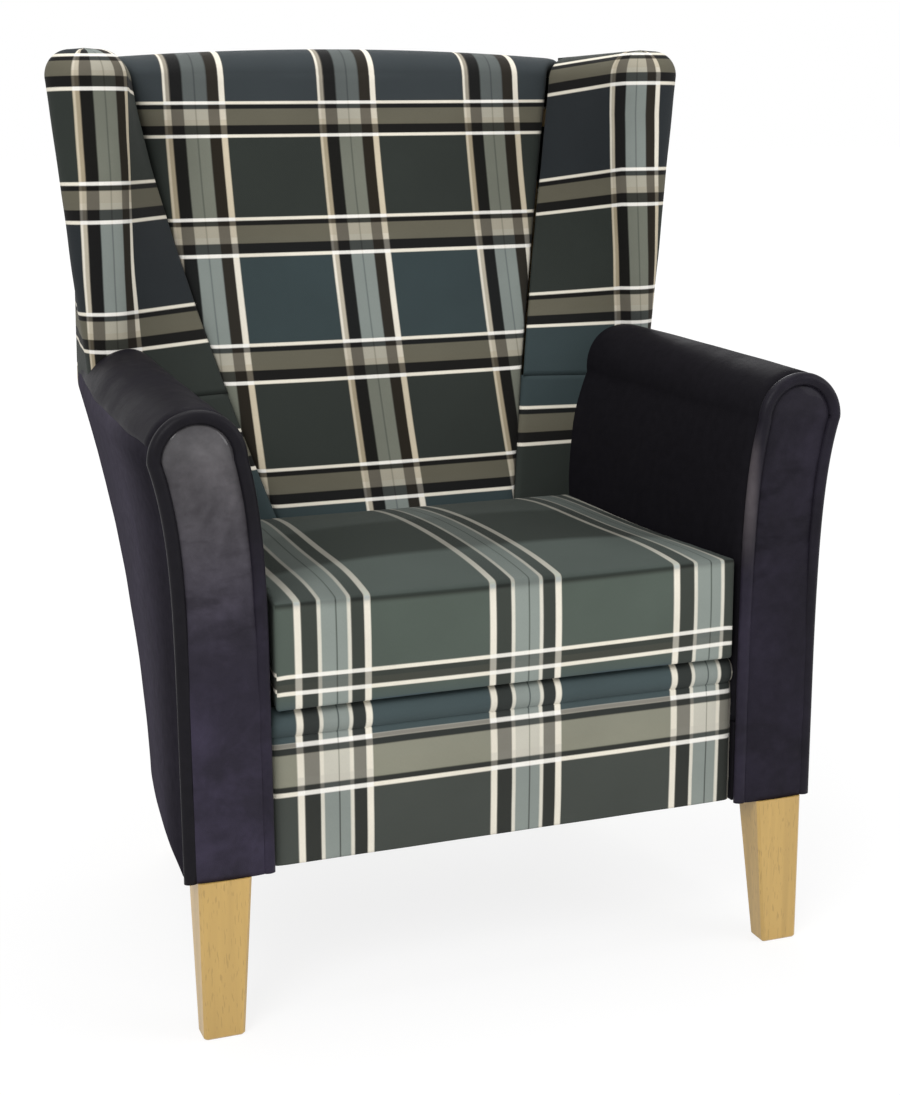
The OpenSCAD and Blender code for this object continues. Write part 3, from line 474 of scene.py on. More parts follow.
def group(name, inputs, outputs):
    """A new node group. An input's default tells its kind: none for a vector, a number, or a colour."""
    tree = bpy.data.node_groups.new(name, "ShaderNodeTree")
    for label, default in inputs.items():
        kind = "Vector" if default is None else "Float" if isinstance(default, float) else "Color"
        socket = tree.interface.new_socket(name=label, in_out="INPUT", socket_type="NodeSocket" + kind)
        if kind != "Vector":
            socket.default_value = default if kind == "Float" else (*default, 1)
    for label in outputs:
        kind = "Color" if label == "Color" else "Float"
        tree.interface.new_socket(name=label, in_out="OUTPUT", socket_type="NodeSocket" + kind)
    given = {socket.name: Field(socket) for socket in tree.nodes.new("NodeGroupInput").outputs}
    return tree, given, tree.nodes.new("NodeGroupOutput")


# The woven and grained effects that materials share

STRIPE_MIDDLE = 0.10025
EDGE_BLUR, SOFT_BLUR = 0.0010, 0.0016
WIDE_BAND = [(0.010, 0.0138), (0.0138, 0.0255), (0.0255, 0.0455), (0.0455, 0.0514), (0.0514, 0.055)]
THIN_BAND = [(0.010, 0.0140), (0.0140, 0.0215), (0.0215, 0.0270), (0.0270, 0.0310)]
BROAD_MIDDLE = (0.0185, 0.0455)
UMBER = (0.022, 0.018, 0.013)
GROUND_SHIFT = 0.23
BROWNER = (0.74, 0.69, 0.60)


def stripe_looks(c):
    """Rows for bands(): the bold stripe, with pale inner lines, and the soft one, with broad pale edges."""
    cream, black, grey, tan = c.cream, c.black, c.grey, c.tan
    pale = [mix(a, b, 0.75) for a, b in zip(grey, cream)]
    bold = [
        (0.0600, 0.0670, cream, 0.95),
        (0.0670, 0.0840, black, 0.86),
        (0.0840, 0.0880, pale, 1.0),
        (0.0880, 0.1035, grey, 0.9),
        (0.1035, 0.1045, black, 0.40),
        (0.1045, 0.1155, grey, 0.9),
        (0.1155, 0.1195, pale, 1.0),
        (0.1195, 0.1335, black, 0.86),
        (0.1335, 0.1405, cream, 1.0),
    ]
    soft = [
        (0.0585, 0.0620, cream, 0.95),
        (0.0620, 0.0675, tan, 0.9),
        (0.0675, 0.0850, black, 0.92),
        (0.0850, 0.1000, grey, 0.88),
        (0.1000, 0.1018, grey, 0.45),
        (0.1018, 0.1170, grey, 0.92),
        (0.1170, 0.1330, UMBER, 0.95),
        (0.1330, 0.1410, cream, 1.0),
    ]
    return bold, soft


def plaid_group(name):
    """The plaid, from places in metres: a stripe across, a band up, and two grounds in turn.
    A narrow band is two lines close together, and a broad one has a wide taupe middle and one faint line.
    Where stripe and band cross, pale threads meet as tan and dark ones stay dark."""
    c = bpy.context.scene.fireside_cloth
    tree, given, result = group(name, {
        "Vector": None, "Ground one": c.ground_green, "Ground two": c.ground_blue, "Stripe strength": 1.0,
        "Stripe soft": 0.0, "Stripe period": 1.0, "Band strength": 1.0, "Band narrow": 0.0,
        "Taupe": c.taupe, "Broad": 0.0}, ["Color"])
    x, y, _ = separate(given["Vector"])
    soft, narrow, broad = given["Stripe soft"], given["Band narrow"], given["Broad"]
    period, strength = given["Stripe period"], given["Band strength"]
    cream, black, taupe, tan = c.cream, c.black, c.taupe, c.tan
    white = [mix(a, 1.0, 0.5) for a in cream]

    # the stripe, and how strongly it covers
    u = (x / (period * c.warp_repeat)).math("FRACT") * period
    bold_rows, soft_rows = stripe_looks(c)
    bold_c, bold_m = ramp(u, bands(bold_rows, c.warp_repeat, EDGE_BLUR))
    soft_c, soft_m = ramp(u, bands(soft_rows, c.warp_repeat, SOFT_BLUR))
    warp_c = mix_colour(soft, bold_c, soft_c)
    warp_m = bold_m * (1 - soft) + soft_m * soft

    # the band as it looks over the ground, over a stripe, and where it is narrow
    rows = y / c.weft_repeat
    v = rows.math("FRACT")

    def band(edges, shades, strengths):
        """The colour and the mask of a band made of these lines."""
        lines = [(*edge, *look) for edge, look in zip(edges, zip(shades, strengths))]
        return ramp(v, bands(lines, c.weft_repeat, EDGE_BLUR))

    def part(edges):
        """The mask of one line."""
        return band([edges], [black], [1.0])[1]

    weft_c, weft_m = band(WIDE_BAND, (cream, black, taupe, black, cream), (1.0, 0.95, 0.95, 0.92, 1.0))
    both_c, both_m = band(WIDE_BAND, (white, black, tan, black, white), (1.0, 0.80, 0.66, 0.80, 1.0))
    thin_c, thin_m = band(THIN_BAND, (cream, UMBER, black, cream), (1.0, 0.9, 0.9, 1.0))
    low_line, high_line = part(WIDE_BAND[0]), part(WIDE_BAND[-1])
    middle = mix_colour(broad, part(WIDE_BAND[2]), part(BROAD_MIDDLE))
    weft_c = mix_colour(middle, weft_c, given["Taupe"])
    weft_c = mix_colour(high_line * (broad * 0.75), weft_c, black)
    both_c = mix_colour(middle * (broad * 0.8), both_c, cream)
    wide = 1 - narrow
    band_c = mix_colour(narrow, weft_c, thin_c)
    band_m = (weft_m * wide + thin_m * narrow) * strength

    # the two grounds by turns, and the stripe a little browner over the first
    turn = ((rows - GROUND_SHIFT) / 2.0).math("FRACT").math("GREATER_THAN", 0.5)
    base = mix_colour(band_m, mix_colour(turn, given["Ground one"], given["Ground two"]), band_c)
    tint = mix_colour(turn, BROWNER, (1.0, 1.0, 1.0))
    tinted = mix_colour(soft, warp_c, mix_colour(1.0, warp_c, tint, "MULTIPLY"))

    # the crossing: dark threads of the stripe hold against the band, and its thin lines lie on top
    bright = out(add(tree, "RGBToBW", {0: warp_c}))
    cross_c = mix_colour(narrow, both_c, thin_c)
    cross_m = both_m * wide + thin_m * (narrow * 0.6)
    crossed = mix_colour(cross_m * span(bright, 0.02, 0.20, 0.35, 1.0) * strength, tinted, cross_c)
    thin_lines = part(THIN_BAND[0]) + part(THIN_BAND[-1])
    lines = ((low_line + high_line) * wide + thin_lines * narrow) * (strength * 0.8)
    crossed = mix_colour(lines, crossed, white)
    fill(result, {"Color": mix_colour(warp_m * given["Stripe strength"], base, crossed)})
    return tree


def weave_group(name):
    """A plain weave: threads of the given pitch, over and under by turns, with uneven thread colour."""
    tree, given, result = group(name, {"Vector": None, "Pitch": 0.0012}, ["Height", "Thread", "Cloud"])
    where = given["Vector"]
    x, y, _ = separate(where)
    warp, weft = ((way / given["Pitch"] * (2 * math.pi)).math("SINE") for way in (x, y))
    fill(result, {
        "Height": warp * weft * 0.5 + 0.5,
        "Thread": noise(moved(where, (900, 60, 60)), Detail=1.0),
        "Cloud": noise(where, Scale=9.0, Detail=3.0),
    })
    return tree


def grain_group(name):
    """Fine leather grain: small cells with soft creases, and a slow mottling."""
    scales = {"Cell scale": 520.0, "Mottle scale": 12.0}
    tree, given, result = group(name, {"Vector": None, **scales}, ["Height", "Mottle", "Fine"])
    where = given["Vector"]
    cell_inputs = {"Vector": where, "Scale": given["Cell scale"]}
    cell = add(tree, "TexVoronoi", cell_inputs, feature="DISTANCE_TO_EDGE")
    mottle = noise(where, Scale=given["Mottle scale"], Detail=6.0, Roughness=0.62, Distortion=0.35)
    fill(result, {
        "Height": out(cell, "Distance").math("MULTIPLY", 2.2, clamp=True),
        "Mottle": span(mottle, 0.40, 0.68),
        "Fine": noise(where, Scale=95.0, Detail=4.0),
    })
    return tree


def timber_group(name):
    """Straight-grained beech: long streaks up the piece, and the short dark flecks of its rays."""
    shades = {"Light": (0.6, 0.4, 0.16), "Dark": (0.42, 0.25, 0.09)}
    tree, given, result = group(name, {"Vector": None, **shades}, ["Color", "Height"])
    streak = noise(moved(given["Vector"], (55, 55, 2.2)), Scale=1.0, Detail=5.0, Distortion=0.6)
    fleck = noise(moved(given["Vector"], (620, 620, 95)), Scale=1.0, Detail=0.0)
    base = mix_colour(span(streak, 0.38, 0.66) * 0.42, given["Light"], given["Dark"])
    flecked = mix_colour(span(fleck, 0.66, 0.74) * 0.5, base, given["Dark"])
    fill(result, {"Color": flecked, "Height": streak})
    return tree


GROUPS = {
    "Plaid cloth": plaid_group,
    "Weave": weave_group,
    "Hide grain": grain_group,
    "Beech grain": timber_group,
}


def place_group(tree, name, inputs):
    """Puts a shared node group into a tree with its own inputs, and builds it the first time."""
    built = bpy.data.node_groups.get(name) or GROUPS[name](name)
    return fill(add(tree, "Group", node_tree=built), inputs)


# Materials

# the stretch of the noise that paints shade into creases on the arm front
PAINTED_CREASE_SCALE = (24, 24, 62)
# the colour of a painted highlight along a rolled edge
PAINTED_SHEEN = (0.120, 0.105, 0.112)
# the cushion's grounds: SEAT_NEAR is painted light at the front of the top, SEAT_REAR painted shade at its
# rear
SEAT_BLUE, SEAT_NEAR, SEAT_REAR = (0.030, 0.052, 0.066), (0.060, 0.074, 0.066), (0.033, 0.040, 0.035)
SEAT_MUTE = (0.40, 0.43, 0.41)
DULL = (0.45, 0.45, 0.47, 1)


def material(name, rough=0.6, spec=0.5, metallic=0.0, sheen=0.0, coat=0.0, coat_rough=0.2):
    """A node material with one Principled BSDF whose steady values stand on its own sockets."""
    finish = bpy.data.materials.new(name)
    finish.use_nodes = True
    shader = fill(finish.node_tree.nodes["Principled BSDF"], {
        "Roughness": rough, "Specular IOR Level": spec, "Metallic": metallic, "Sheen Weight": sheen,
        "Sheen Roughness": 0.5, "Coat Weight": coat, "Coat Roughness": coat_rough})
    return finish, finish.node_tree, shader


def bump(shader, height, distance, strength, under=None):
    """A Bump node from a height that feeds the shader's Normal, over another bump if one is given."""
    inputs = {"Height": height, "Distance": distance, "Strength": strength}
    if under:
        inputs["Normal"] = under
    normal = out(add(height.tree, "Bump", inputs))
    fill(shader, {"Normal": normal})
    return normal


def object_place(tree):
    """Object coordinates, which are the frame's own metres on every piece."""
    return out(add(tree, "TexCoord"), "Object")


def painted_dusk_look(cloth, look, raw, shade, start, mutes):
    """Painted shade: the second ground turns darker and greyer above a height on the cloth map, and mutes
    dulls the greys there too.
    """
    high = separate(raw)[1].math("GREATER_THAN", start)
    fill(cloth, {"Ground two": mix_colour(high, bpy.context.scene.fireside_cloth.ground_blue, shade)})
    if not mutes:
        return look
    bright = out(add(look.tree, "RGBToBW", {0: look}))
    keep, _ = ramp(bright, [(0.07, (1, 1, 1, 1)), (0.12, DULL), (0.32, DULL), (0.62, (1, 1, 1, 1))])
    return mix_colour(high, look, mix_colour(1.0, look, keep, "MULTIPLY"))


def seat_look(cloth, look, raw):
    """The cushion: up the cloth map comes the front border, then the top from its front edge to the back.
    The top's front edge is at run 0.24, and from there on the band goes and the stripe is muted."""
    c = bpy.context.scene.fireside_cloth
    green, dark = c.seat_green, c.seat_dark
    run = separate(raw)[1].math("MULTIPLY_ADD", 2.0, 0.24, clamp=True)
    # painted light and shade: lighter grounds on the cushion's front and the front of its top, darker at the
    # top's rear
    ground, top = ramp(run, [
        (0.0, (*SEAT_BLUE, 0)), (0.055, (*green, 0)), (0.229, (*green, 0)), (0.234, (*dark, 0)),
        (0.240, (*dark, 1)), (0.246, (*SEAT_NEAR, 1)), (0.44, (*SEAT_NEAR, 1)),
        (0.47, (*dark, 1)), (0.72, (*dark, 1)), (0.75, (*SEAT_REAR, 1)), (1.0, (*SEAT_REAR, 1))])
    faint_stops = ((0.0, 0), (0.225, 0), (0.25, 0.48), (0.48, 0.76))
    _, faint = ramp(run, [(at, (0, 0, 0, mask)) for at, mask in faint_stops])
    fill(cloth, {
        "Ground one": ground, "Ground two": ground, "Band strength": 1 - top, "Stripe strength": 1 - faint})
    muted = mix_colour(1.0, out(cloth, "Color"), SEAT_MUTE, "DARKEN")
    return mix_colour(top, look, muted)


def plaid(name, stripe_at, band_at, scale=(1, 1), narrow=0.0, soft=0.0, period=1.0, turned=False,
          grounds=None, painted_dusk=None, painted_haze=None, taupe=None, seat=False):
    """The plaid on one piece. stripe_at is the middle of a stripe and band_at the low line of a band, on its
    cloth map. turned swaps the two grounds. dusk is painted shade: the second ground's colour above a height,
    and whether the greys are muted there. haze is painted light, a pale colour added all over, and taupe the
    colour of a broad band."""
    finish, tree, shader = material(name, rough=0.78, spec=0.10, sheen=0.03)
    rows = 3 if turned else 2
    lift = bpy.context.scene.fireside_cloth.weft_repeat * rows
    offset = (STRIPE_MIDDLE - stripe_at * scale[0], WIDE_BAND[0][0] - band_at * scale[1] + lift, 0)
    raw = out(add(tree, "UVMap", uv_map="cloth"))
    cloth = place_group(tree, "Plaid cloth", {
        "Vector": moved(raw, (*scale, 1), offset), "Band narrow": narrow, "Stripe soft": soft,
        "Stripe period": period})
    weave = place_group(tree, "Weave", {"Vector": raw})
    thread, cloud, height = (out(weave, key) for key in ("Thread", "Cloud", "Height"))
    look = out(cloth, "Color")
    if grounds:
        fill(cloth, {"Ground one": grounds[0], "Ground two": grounds[1]})
    if painted_dusk:
        look = painted_dusk_look(cloth, look, raw, *painted_dusk)
    if taupe:
        fill(cloth, {"Taupe": taupe, "Broad": 1.0})
    # painted light: a pale haze added all over the cloth
    if painted_haze:
        look = mix_colour(1.0, look, painted_haze, "ADD")
    if seat:
        look = seat_look(cloth, look, raw)
    # uneven cloud and thread tone, and painted shade: the weave's hollows a little darker than its crowns
    tone = (cloud * 0.34 + 0.83) * (thread * 0.20 + 0.90) * (height * 0.14 + 0.93)
    fill(shader, {"Base Color": brighten(look, tone), "Roughness": cloud * 0.16 + 0.70})
    bump(shader, height, 0.00022, 0.5)
    return finish


def leather(name, bloom, spec, rough=0.55, painted_top_light=0.0, low=None, shade=None, rounded=False, streak=False):
    """The dark arm cover: fine grain, a slow aubergine bloom, and a low sheen.
    worn is painted light, turning the arm front a paler grey towards its top, and its creases are painted
    shade. low is its bloom near the foot of the inner side. shade is a painted reflection: the outer flank's
    brightness at the front and further back, on a rounded piece only where the cover faces outwards. streak
    is a painted highlight, a pale sheen along the inner edge of the rolled edge."""
    c = bpy.context.scene.fireside_cloth
    finish, tree, shader = material(name, rough=rough, spec=spec, coat_rough=0.10)
    where = object_place(tree)
    grain = place_group(tree, "Hide grain", {"Vector": where})
    mottle, fine, cells = (out(grain, key) for key in ("Mottle", "Fine", "Height"))
    x, depth, z = separate(where)
    half = x.math("ABSOLUTE")
    if low is not None:
        bloom = fade(half, 0.335, 0.295) * fade(z, 0.36, 0.56, low, 0.0) + bloom
    lighter = c.bloom
    # painted light: the arm front turns a paler grey towards its top, with a coat there
    if painted_top_light:
        lighter = mix_colour(fade(z, 0.36, 0.62, 0.0, painted_top_light), c.bloom, c.painted_top_light)
        fill(shader, {"Coat Weight": fade(z, 0.585, 0.615, 0.0, 0.7 * painted_top_light)})
    base = mix_colour((mottle * 0.6 + 0.4) * bloom, c.leather, lighter)
    # painted highlight: a pale sheen down the inner edge of the rolled edge
    if streak:
        pale = fade(half, 0.280, 0.268, 0.0, 0.62) * fade(z, 0.42, 0.52)
        base = mix_colour(pale * fade(z, 0.56, 0.60, 1.0, 0.0), base, PAINTED_SHEEN)
    speck = fine * 0.5 + 0.75
    # painted reflection: the outer flank is painted darker at the front and lighter further back
    if shade:
        painted_reflection = fade(depth, -0.30, -0.10, *shade)
        if rounded:
            flank = fade(half, 0.325, 0.350) * fade(z, 0.56, 0.63, 1.0, 0.0)
            painted_reflection = flank * (painted_reflection - 1.0) + 1.0
        speck = speck * painted_reflection
    if painted_top_light:
        # painted shade: darker creases streaked across the middle of the arm front
        crease = noise(moved(where, PAINTED_CREASE_SCALE), Scale=1.0, Detail=4.0)
        zone = fade(z, 0.36, 0.46) * fade(z, 0.50, 0.60, 1.0, 0.25)
        speck = speck * (1 - zone * fade(crease, 0.48, 0.68, 0.0, 0.34))
    fill(shader, {"Base Color": brighten(base, speck), "Roughness": mottle * 0.16 + (rough - 0.08)})
    bump(shader, cells, 0.00016, 0.45, under=bump(shader, fine, 0.0006, 0.35))
    return finish


def timber(name, light, dark, rough, coat):
    """Beech with its grain running up the piece, under a thin lacquer."""
    finish, tree, shader = material(name, rough=rough, coat=coat, coat_rough=0.18)
    grain = place_group(tree, "Beech grain", {"Vector": object_place(tree), "Light": light, "Dark": dark})
    streak = out(grain, "Height")
    fill(shader, {"Base Color": out(grain, "Color"), "Roughness": streak * 0.12 + (rough - 0.06)})
    bump(shader, streak, 0.0004, 0.3)
    return finish


def plain_cloth(name, shade, pitch=0.0016, rough=0.85, variation=0.3):
    """A plain woven or felted cloth in one colour, by object coordinates."""
    finish, tree, shader = material(name, rough=rough, spec=0.25, sheen=0.08)
    weave = place_group(tree, "Weave", {"Vector": object_place(tree), "Pitch": pitch})
    tone = (out(weave, "Cloud") * variation + (1 - variation / 2)) * (out(weave, "Thread") * 0.4 + 0.8)
    fill(shader, {"Base Color": brighten(shade, tone)})
    bump(shader, out(weave, "Height"), 0.0003, 0.6)
    return finish


def zinc(name):
    """Zinc-plated steel with fine brushed scratches and slight dulling."""
    finish, tree, shader = material(name, rough=0.34, metallic=1.0)
    scratch = noise(object_place(tree), Scale=240.0, Detail=4.0)
    plating = mix_colour(scratch, (0.48, 0.49, 0.50), (0.66, 0.67, 0.67))
    fill(shader, {"Base Color": plating, "Roughness": scratch * 0.24 + 0.24})
    bump(shader, scratch, 0.0001, 0.3)
    return finish


# Surfaces of the pieces

# where the arm's cover begins and the outside arm ends, on the scale of arm_section()
COVER_SEAM, PANEL_SEAM = 1.085, 1.115
# metres that a step of 1 stands for: along the arm, round its top, and up its flank
ARM_RUN, CAP_RUN, FLANK_RUN = 0.55, 0.15, 0.427


def inside_back_surface(s, d):
    """The inside back: up the raked seam line, over half an ellipse at the top, and a short lap down outside.
    Each row runs across from seam to seam, proud in its middle by a parabola and sunk at its seams by a
    quarter ellipse."""
    proud_d, seam_reach, lap_h = 0.008, 0.016, 0.020
    z_face = np.linspace(s.tuck_z, s.back_spring, 90)
    face = np.stack([seam_y(s, z_face) + d, z_face, 0 * z_face], -1)
    a = np.linspace(0, np.pi, 41)[1:]
    y_in = seam_y(s, np.array(s.back_spring)) + d
    y_out = s.body_d - d
    y_crest = (y_in + y_out) / 2 - (y_out - y_in) / 2 * np.cos(a)
    crest = np.stack([y_crest, s.back_spring + (s.crest_h - d) * np.sin(a), np.sin(a)], -1)
    z_lap = np.linspace(s.back_spring, s.back_spring - lap_h, 5)[1:]
    lap = np.stack([outside_y(s, z_lap) - d + 0.001, z_lap, 0 * z_lap], -1)
    line = np.concatenate([face, crest, lap])
    h = np.linspace(-1, 1, 97)[None, :]
    y, z, over = line[:, :1], line[:, 1:2], line[:, 2:3]
    on_face = np.arange(len(line))[:, None] < len(face)
    turned = np.clip((y - y_in) / (y_out - y_in), 0, 1)
    over_half = mix(seam_half(s, s.back_spring), outside_half(s, s.back_spring), turned)
    half = np.where(on_face, seam_half(s, z), over_half) - s.gap
    low = sink(half * (1 - np.abs(h)), seam_reach, s.seam_d)
    proud = np.where(on_face, proud_d * (1 - h**2) * np.sin(np.pi * back_share(s, z)), 0)
    slope = np.where(on_face, 1.0, np.cos(turned * np.pi))
    yy = y - proud + low * slope + np.where(on_face, ripple(half * h, z, 0.0006), 0)
    zz = z - over * s.crest_drop * h**2 - over * low
    return place(s, half * h, yy, zz)


def wing_frame(s, z):
    """The wing's plan at heights z: seam corner, outer corner, oval roll and the two tangent places on it."""
    foot_out, foot_in, top_in = 0.357, 0.300, 0.294
    k = (z - s.arm_h) / (s.wing_shoulder - s.arm_h)
    roll_out, roll_in = mix(foot_out, s.wing_w / 2, k), mix(foot_in, top_in, k)
    c, w = np.stack([(roll_out + roll_in) / 2, np.full_like(z, s.wing_d)], -1), (roll_out - roll_in) / 2
    seam = np.stack([seam_half(s, z) + s.gap, seam_y(s, z)], -1)
    outer = np.stack([outside_half(s, z), arm_end_y(s, z)], -1)
    half = np.stack([w, np.full_like(w, s.wing_roll_d)], -1)

    def touch(p, side):
        q = (p - c) / half
        return np.arctan2(q[:, 1], q[:, 0]) + side * np.arccos(1 / np.linalg.norm(q, axis=1))

    a = touch(seam, 1) % (2 * np.pi)
    b = touch(outer, -1)
    b = np.where(b < a, b + 2 * np.pi, b)
    return c, half, seam, outer, a, b


def wing_ring(s, z):
    """Closed rings round the wing at heights z: seam to roll, round the roll, roll to outer corner, and back
    along the rear wall. Also gives each point's distance round the cover from the middle of the roll."""
    centre, half, seam, outer, a, b = wing_frame(s, z)
    face_steps, roll_steps, wall_steps = 40, 48, 16
    g = mix(a[:, None], b[:, None], np.linspace(0, 1, roll_steps + 1))
    arc = centre[:, None] + half[:, None] * np.stack([np.cos(g), np.sin(g)], -1)
    face = np.linspace(0, 1, face_steps + 1)[:, None]
    inner = mix(seam[:, None], arc[:, :1], face[:-1])
    outside = mix(arc[:, -1:], outer[:, None], face[1:])
    wall = np.linspace(0, 1, wall_steps + 1)[1:-1, None]
    rear = mix(outer[:, None], seam[:, None], wall)
    ring = np.concatenate([inner, arc, outside, rear], 1)
    run = along(ring, 1)
    front = face_steps + roll_steps // 2
    return ring, run - run[:, front : front + 1]


def wing_surface(s):
    """The wing as rings from inside the arm up to its shoulder, then drawn in over a dome towards a spine
    that runs from the roll to the rear wall."""
    z = np.linspace(s.arm_spring - 0.004, s.wing_shoulder, 56)
    ring, run = wing_ring(s, z)
    centre, _, seam, outer, _, _ = wing_frame(s, z)
    top, top_run = ring[-1], run[-1]
    start, end = centre[-1] + np.array([0.0, 0.004]), (seam[-1] + outer[-1]) / 2
    axis = end - start
    f = np.clip(((top - start) @ axis) / (axis @ axis), 0, 1)
    spine = start + f[:, None] * axis
    inward = spine - top
    full_reach = np.linalg.norm(inward, axis=1)
    reach = np.minimum(s.wing_dome, 0.98 * full_reach)
    unit = inward / np.maximum(full_reach, 1e-6)[:, None]
    dome_steps, flat_steps, crown_h = 14, 5, 0.0015
    a = np.linspace(0, np.pi / 2, dome_steps + 1)[1:]
    dome = top + unit * (reach[None, :, None] * (1 - np.cos(a))[:, None, None])
    flat_share = np.linspace(0, 1, flat_steps + 1)[1:]
    flat = dome[-1] + (spine - dome[-1]) * (flat_share[:, None, None] * 0.995)
    rise = np.concatenate([np.sin(a), np.ones(flat_steps)]) * s.wing_dome
    crown = np.concatenate([np.zeros(dome_steps), flat_share * crown_h])
    xy = np.concatenate([ring, dome, flat])
    zz = np.concatenate([z[:, None] + 0 * run, s.wing_shoulder + (rise + crown)[:, None] + 0 * top_run[None]])
    over = np.concatenate([0 * z, rise * 1.35])
    across = np.concatenate([run, np.repeat(top_run[None], len(rise), 0)])
    uv = np.stack([across, zz + over[:, None] * 0.2], -1)
    # the wing's top drops towards its rear
    top_drop = 0.008
    k = np.maximum(0, (np.minimum(zz, s.wing_shoulder) - s.arm_h) / (s.wing_shoulder - s.arm_h))
    drop = top_drop * k * (xy[..., 1] - s.wing_d + s.wing_roll_d) / (s.body_d - s.wing_d)
    soft = ripple(xy[..., 1] * 1.2, zz, 0.0007)
    return place(s, xy[..., 0] + soft, xy[..., 1] - drop * s.rake, zz - drop), uv


def strip_surface(s, d):
    """The lower wing: from the seam towards the roll's tangent place, in the plane of the wing's inner face,
    ending inside the arm."""
    z = np.linspace(s.tuck_z, s.arm_spring - 0.0042, 48)
    centre, half, seam, _, a, _ = wing_frame(s, z)
    touch = centre + half * np.stack([np.cos(a), np.sin(a)], -1)
    way = touch - seam
    depth = seam[:, 1] + way[:, 1] * 0.5
    t = np.clip((depth - s.front) / (arm_end_y(s, z) - s.front), 0, 1)
    reach = np.clip((arm_in(s, t, z) + 0.012 - seam[:, 0]) / way[:, 0], 0.02, 1)
    f = np.linspace(0, 1, 25)[None, :, None] * reach[:, None, None]
    p = seam[:, None] + way[:, None] * f
    span = np.linalg.norm(way, axis=1)
    arc = np.linalg.norm(half, axis=1) * 0.9
    run = -(arc[:, None] + span[:, None] * (1 - f[..., 0]))
    zz = z[:, None] + 0 * run
    edge = f[..., 0] * span[:, None]
    low = sink(edge, 0.012, 0.003)
    return place(s, p[..., 0], p[..., 1] + low + d, zz), np.stack([run, zz], -1)


def arm_surface(s, d):
    """The arm's top and inner face: sections of the arm from the front roll to the back, sunk a little at the
    roll and at the shoulder seam. Inside, it ends where the back begins."""
    u = np.concatenate([np.linspace(COVER_SEAM, 2, 49), np.linspace(2, 3, 40)[1:]])[None, :]
    t = np.linspace(0, 1, 64)[:, None]
    inside_end = 0.86
    reach = t * np.where(u > 2, inside_end, mix(1, inside_end, np.clip(u - 1, 0, 1) ** 2))
    low = d + sink(reach * ARM_RUN, 0.010, 0.0045) + sink((u - COVER_SEAM) * CAP_RUN, 0.006, 0.0022)
    x, z = arm_section(s, reach, u, low, s.rail_top)
    y = mix(s.front, arm_end_y(s, z), reach)
    soft = ripple(y, z + x, 0.0008) * smooth(reach * 6)
    return place(s, x + soft, y, z), np.stack([y + 0 * u, u * 0.3 + 0 * t], -1)


def outside_arm_surface(s, d):
    """The outside arm: the arm's sections from the foot up to the shoulder seam, where it tucks under the
    arm's cover. It is sunk at the seam, the front, the rear and the foot."""
    u = np.concatenate([np.linspace(0, 1, 49), np.linspace(1, PANEL_SEAM, 9)[1:]])[None, :]
    t = np.linspace(0, 1, 64)[:, None]
    low = d + sink((PANEL_SEAM - u) * CAP_RUN, 0.010, 0.0022) + sink(t * ARM_RUN, 0.022, 0.0030)
    low = low + sink((1 - t) * ARM_RUN, 0.006, 0.002) + sink(u * FLANK_RUN, 0.006, 0.0025)
    x, z = arm_section(s, t, u, low, s.leg_h)
    y = mix(s.front, arm_end_y(s, z), t)
    return place(s, x + ripple(y, z, 0.0006), y, z), np.stack([y + 0 * u, z], -1)


def facing_outline(s, u, d):
    """The arm front's outline moved in by d, as across and up."""
    return np.stack(arm_section(s, 0.0, u, d, s.leg_h), -1)


def facing_surface(s):
    """The padded panel on the arm's front: lines across from one side of its outline to the other, rising
    from a sunk edge over a quarter ellipse to a slightly crowned field."""
    # the lines across lie closer together over the last part, under the rounded top
    even, lap = 0.62, 0.002
    close = mix(even, 1, np.sin(np.linspace(0, np.pi / 2, 34)))
    w = np.concatenate([np.linspace(0, even, 60), close[1:]])
    inset = 2 * s.bead_r - lap
    left, right = facing_outline(s, 1.5 * w, inset), facing_outline(s, 3 - 1.5 * w, inset)
    h = (1 - np.cos(np.linspace(0, np.pi, 41))) / 2
    p = left[:, None] + (right - left)[:, None] * h[None, :, None]
    loop = facing_outline(s, np.linspace(0, 3, 400), inset)
    gap = np.linalg.norm(p[:, :, None] - loop[None, None], axis=-1).min(-1)
    edge_reach, foot_reach, foot_lift = 0.017, 0.006, 0.002
    rise = (1 - sink(gap, edge_reach, 1.0)) * (1 - sink(p[..., 1] - s.leg_h + foot_lift, foot_reach, 1.0))
    crown_d, crown_reach, field_y, low_edge_y, high_edge_y = 0.0012, 0.04, 0.0034, 0.0056, 0.0088
    crown = crown_d * np.clip(gap / crown_reach, 0, 1)
    edge_y = mix(low_edge_y, high_edge_y, rim_share(p[..., 1]))
    y = mix(edge_y, field_y, rise) - crown + ripple(p[..., 0] * 1.5, p[..., 1], 0.0004)
    return place(s, p[..., 0], y, p[..., 1]), p


def rim_share(z):
    """How far the rolled edge stands out at a height: fully round the top, hardly at all towards the foot."""
    start, run = 0.32, 0.22
    return smooth((z - start) / run)


def bead_surface(s):
    """The rolled edge round the arm front: a circle carried along the outline, one radius in, and pressed
    flatter towards the foot."""
    r = s.bead_r
    u = np.concatenate([np.linspace(0, 1, 60), np.linspace(1, 2, 90)[1:], np.linspace(2, 3, 60)[1:]])
    line = facing_outline(s, u, r)
    way = np.gradient(line, axis=0)
    way /= np.linalg.norm(way, axis=1)[:, None]
    side = np.stack([way[:, 1], -way[:, 0]], -1)
    a = np.linspace(0, 2 * np.pi, 25)[:-1]
    p = line[:, None] + r * np.cos(a)[None, :, None] * side[:, None]
    pressed = 0.0052
    deep = mix(pressed, r, rim_share(line[:, 1]))[:, None]
    y = 2 * r - deep * (1 - np.sin(a)[None, :]) + 0 * p[..., 0]
    run = along(line, 0)
    return place(s, p[..., 0], y, p[..., 1]), np.stack([run[:, None] + 0 * y, a[None, :] * r + 0 * y], -1)


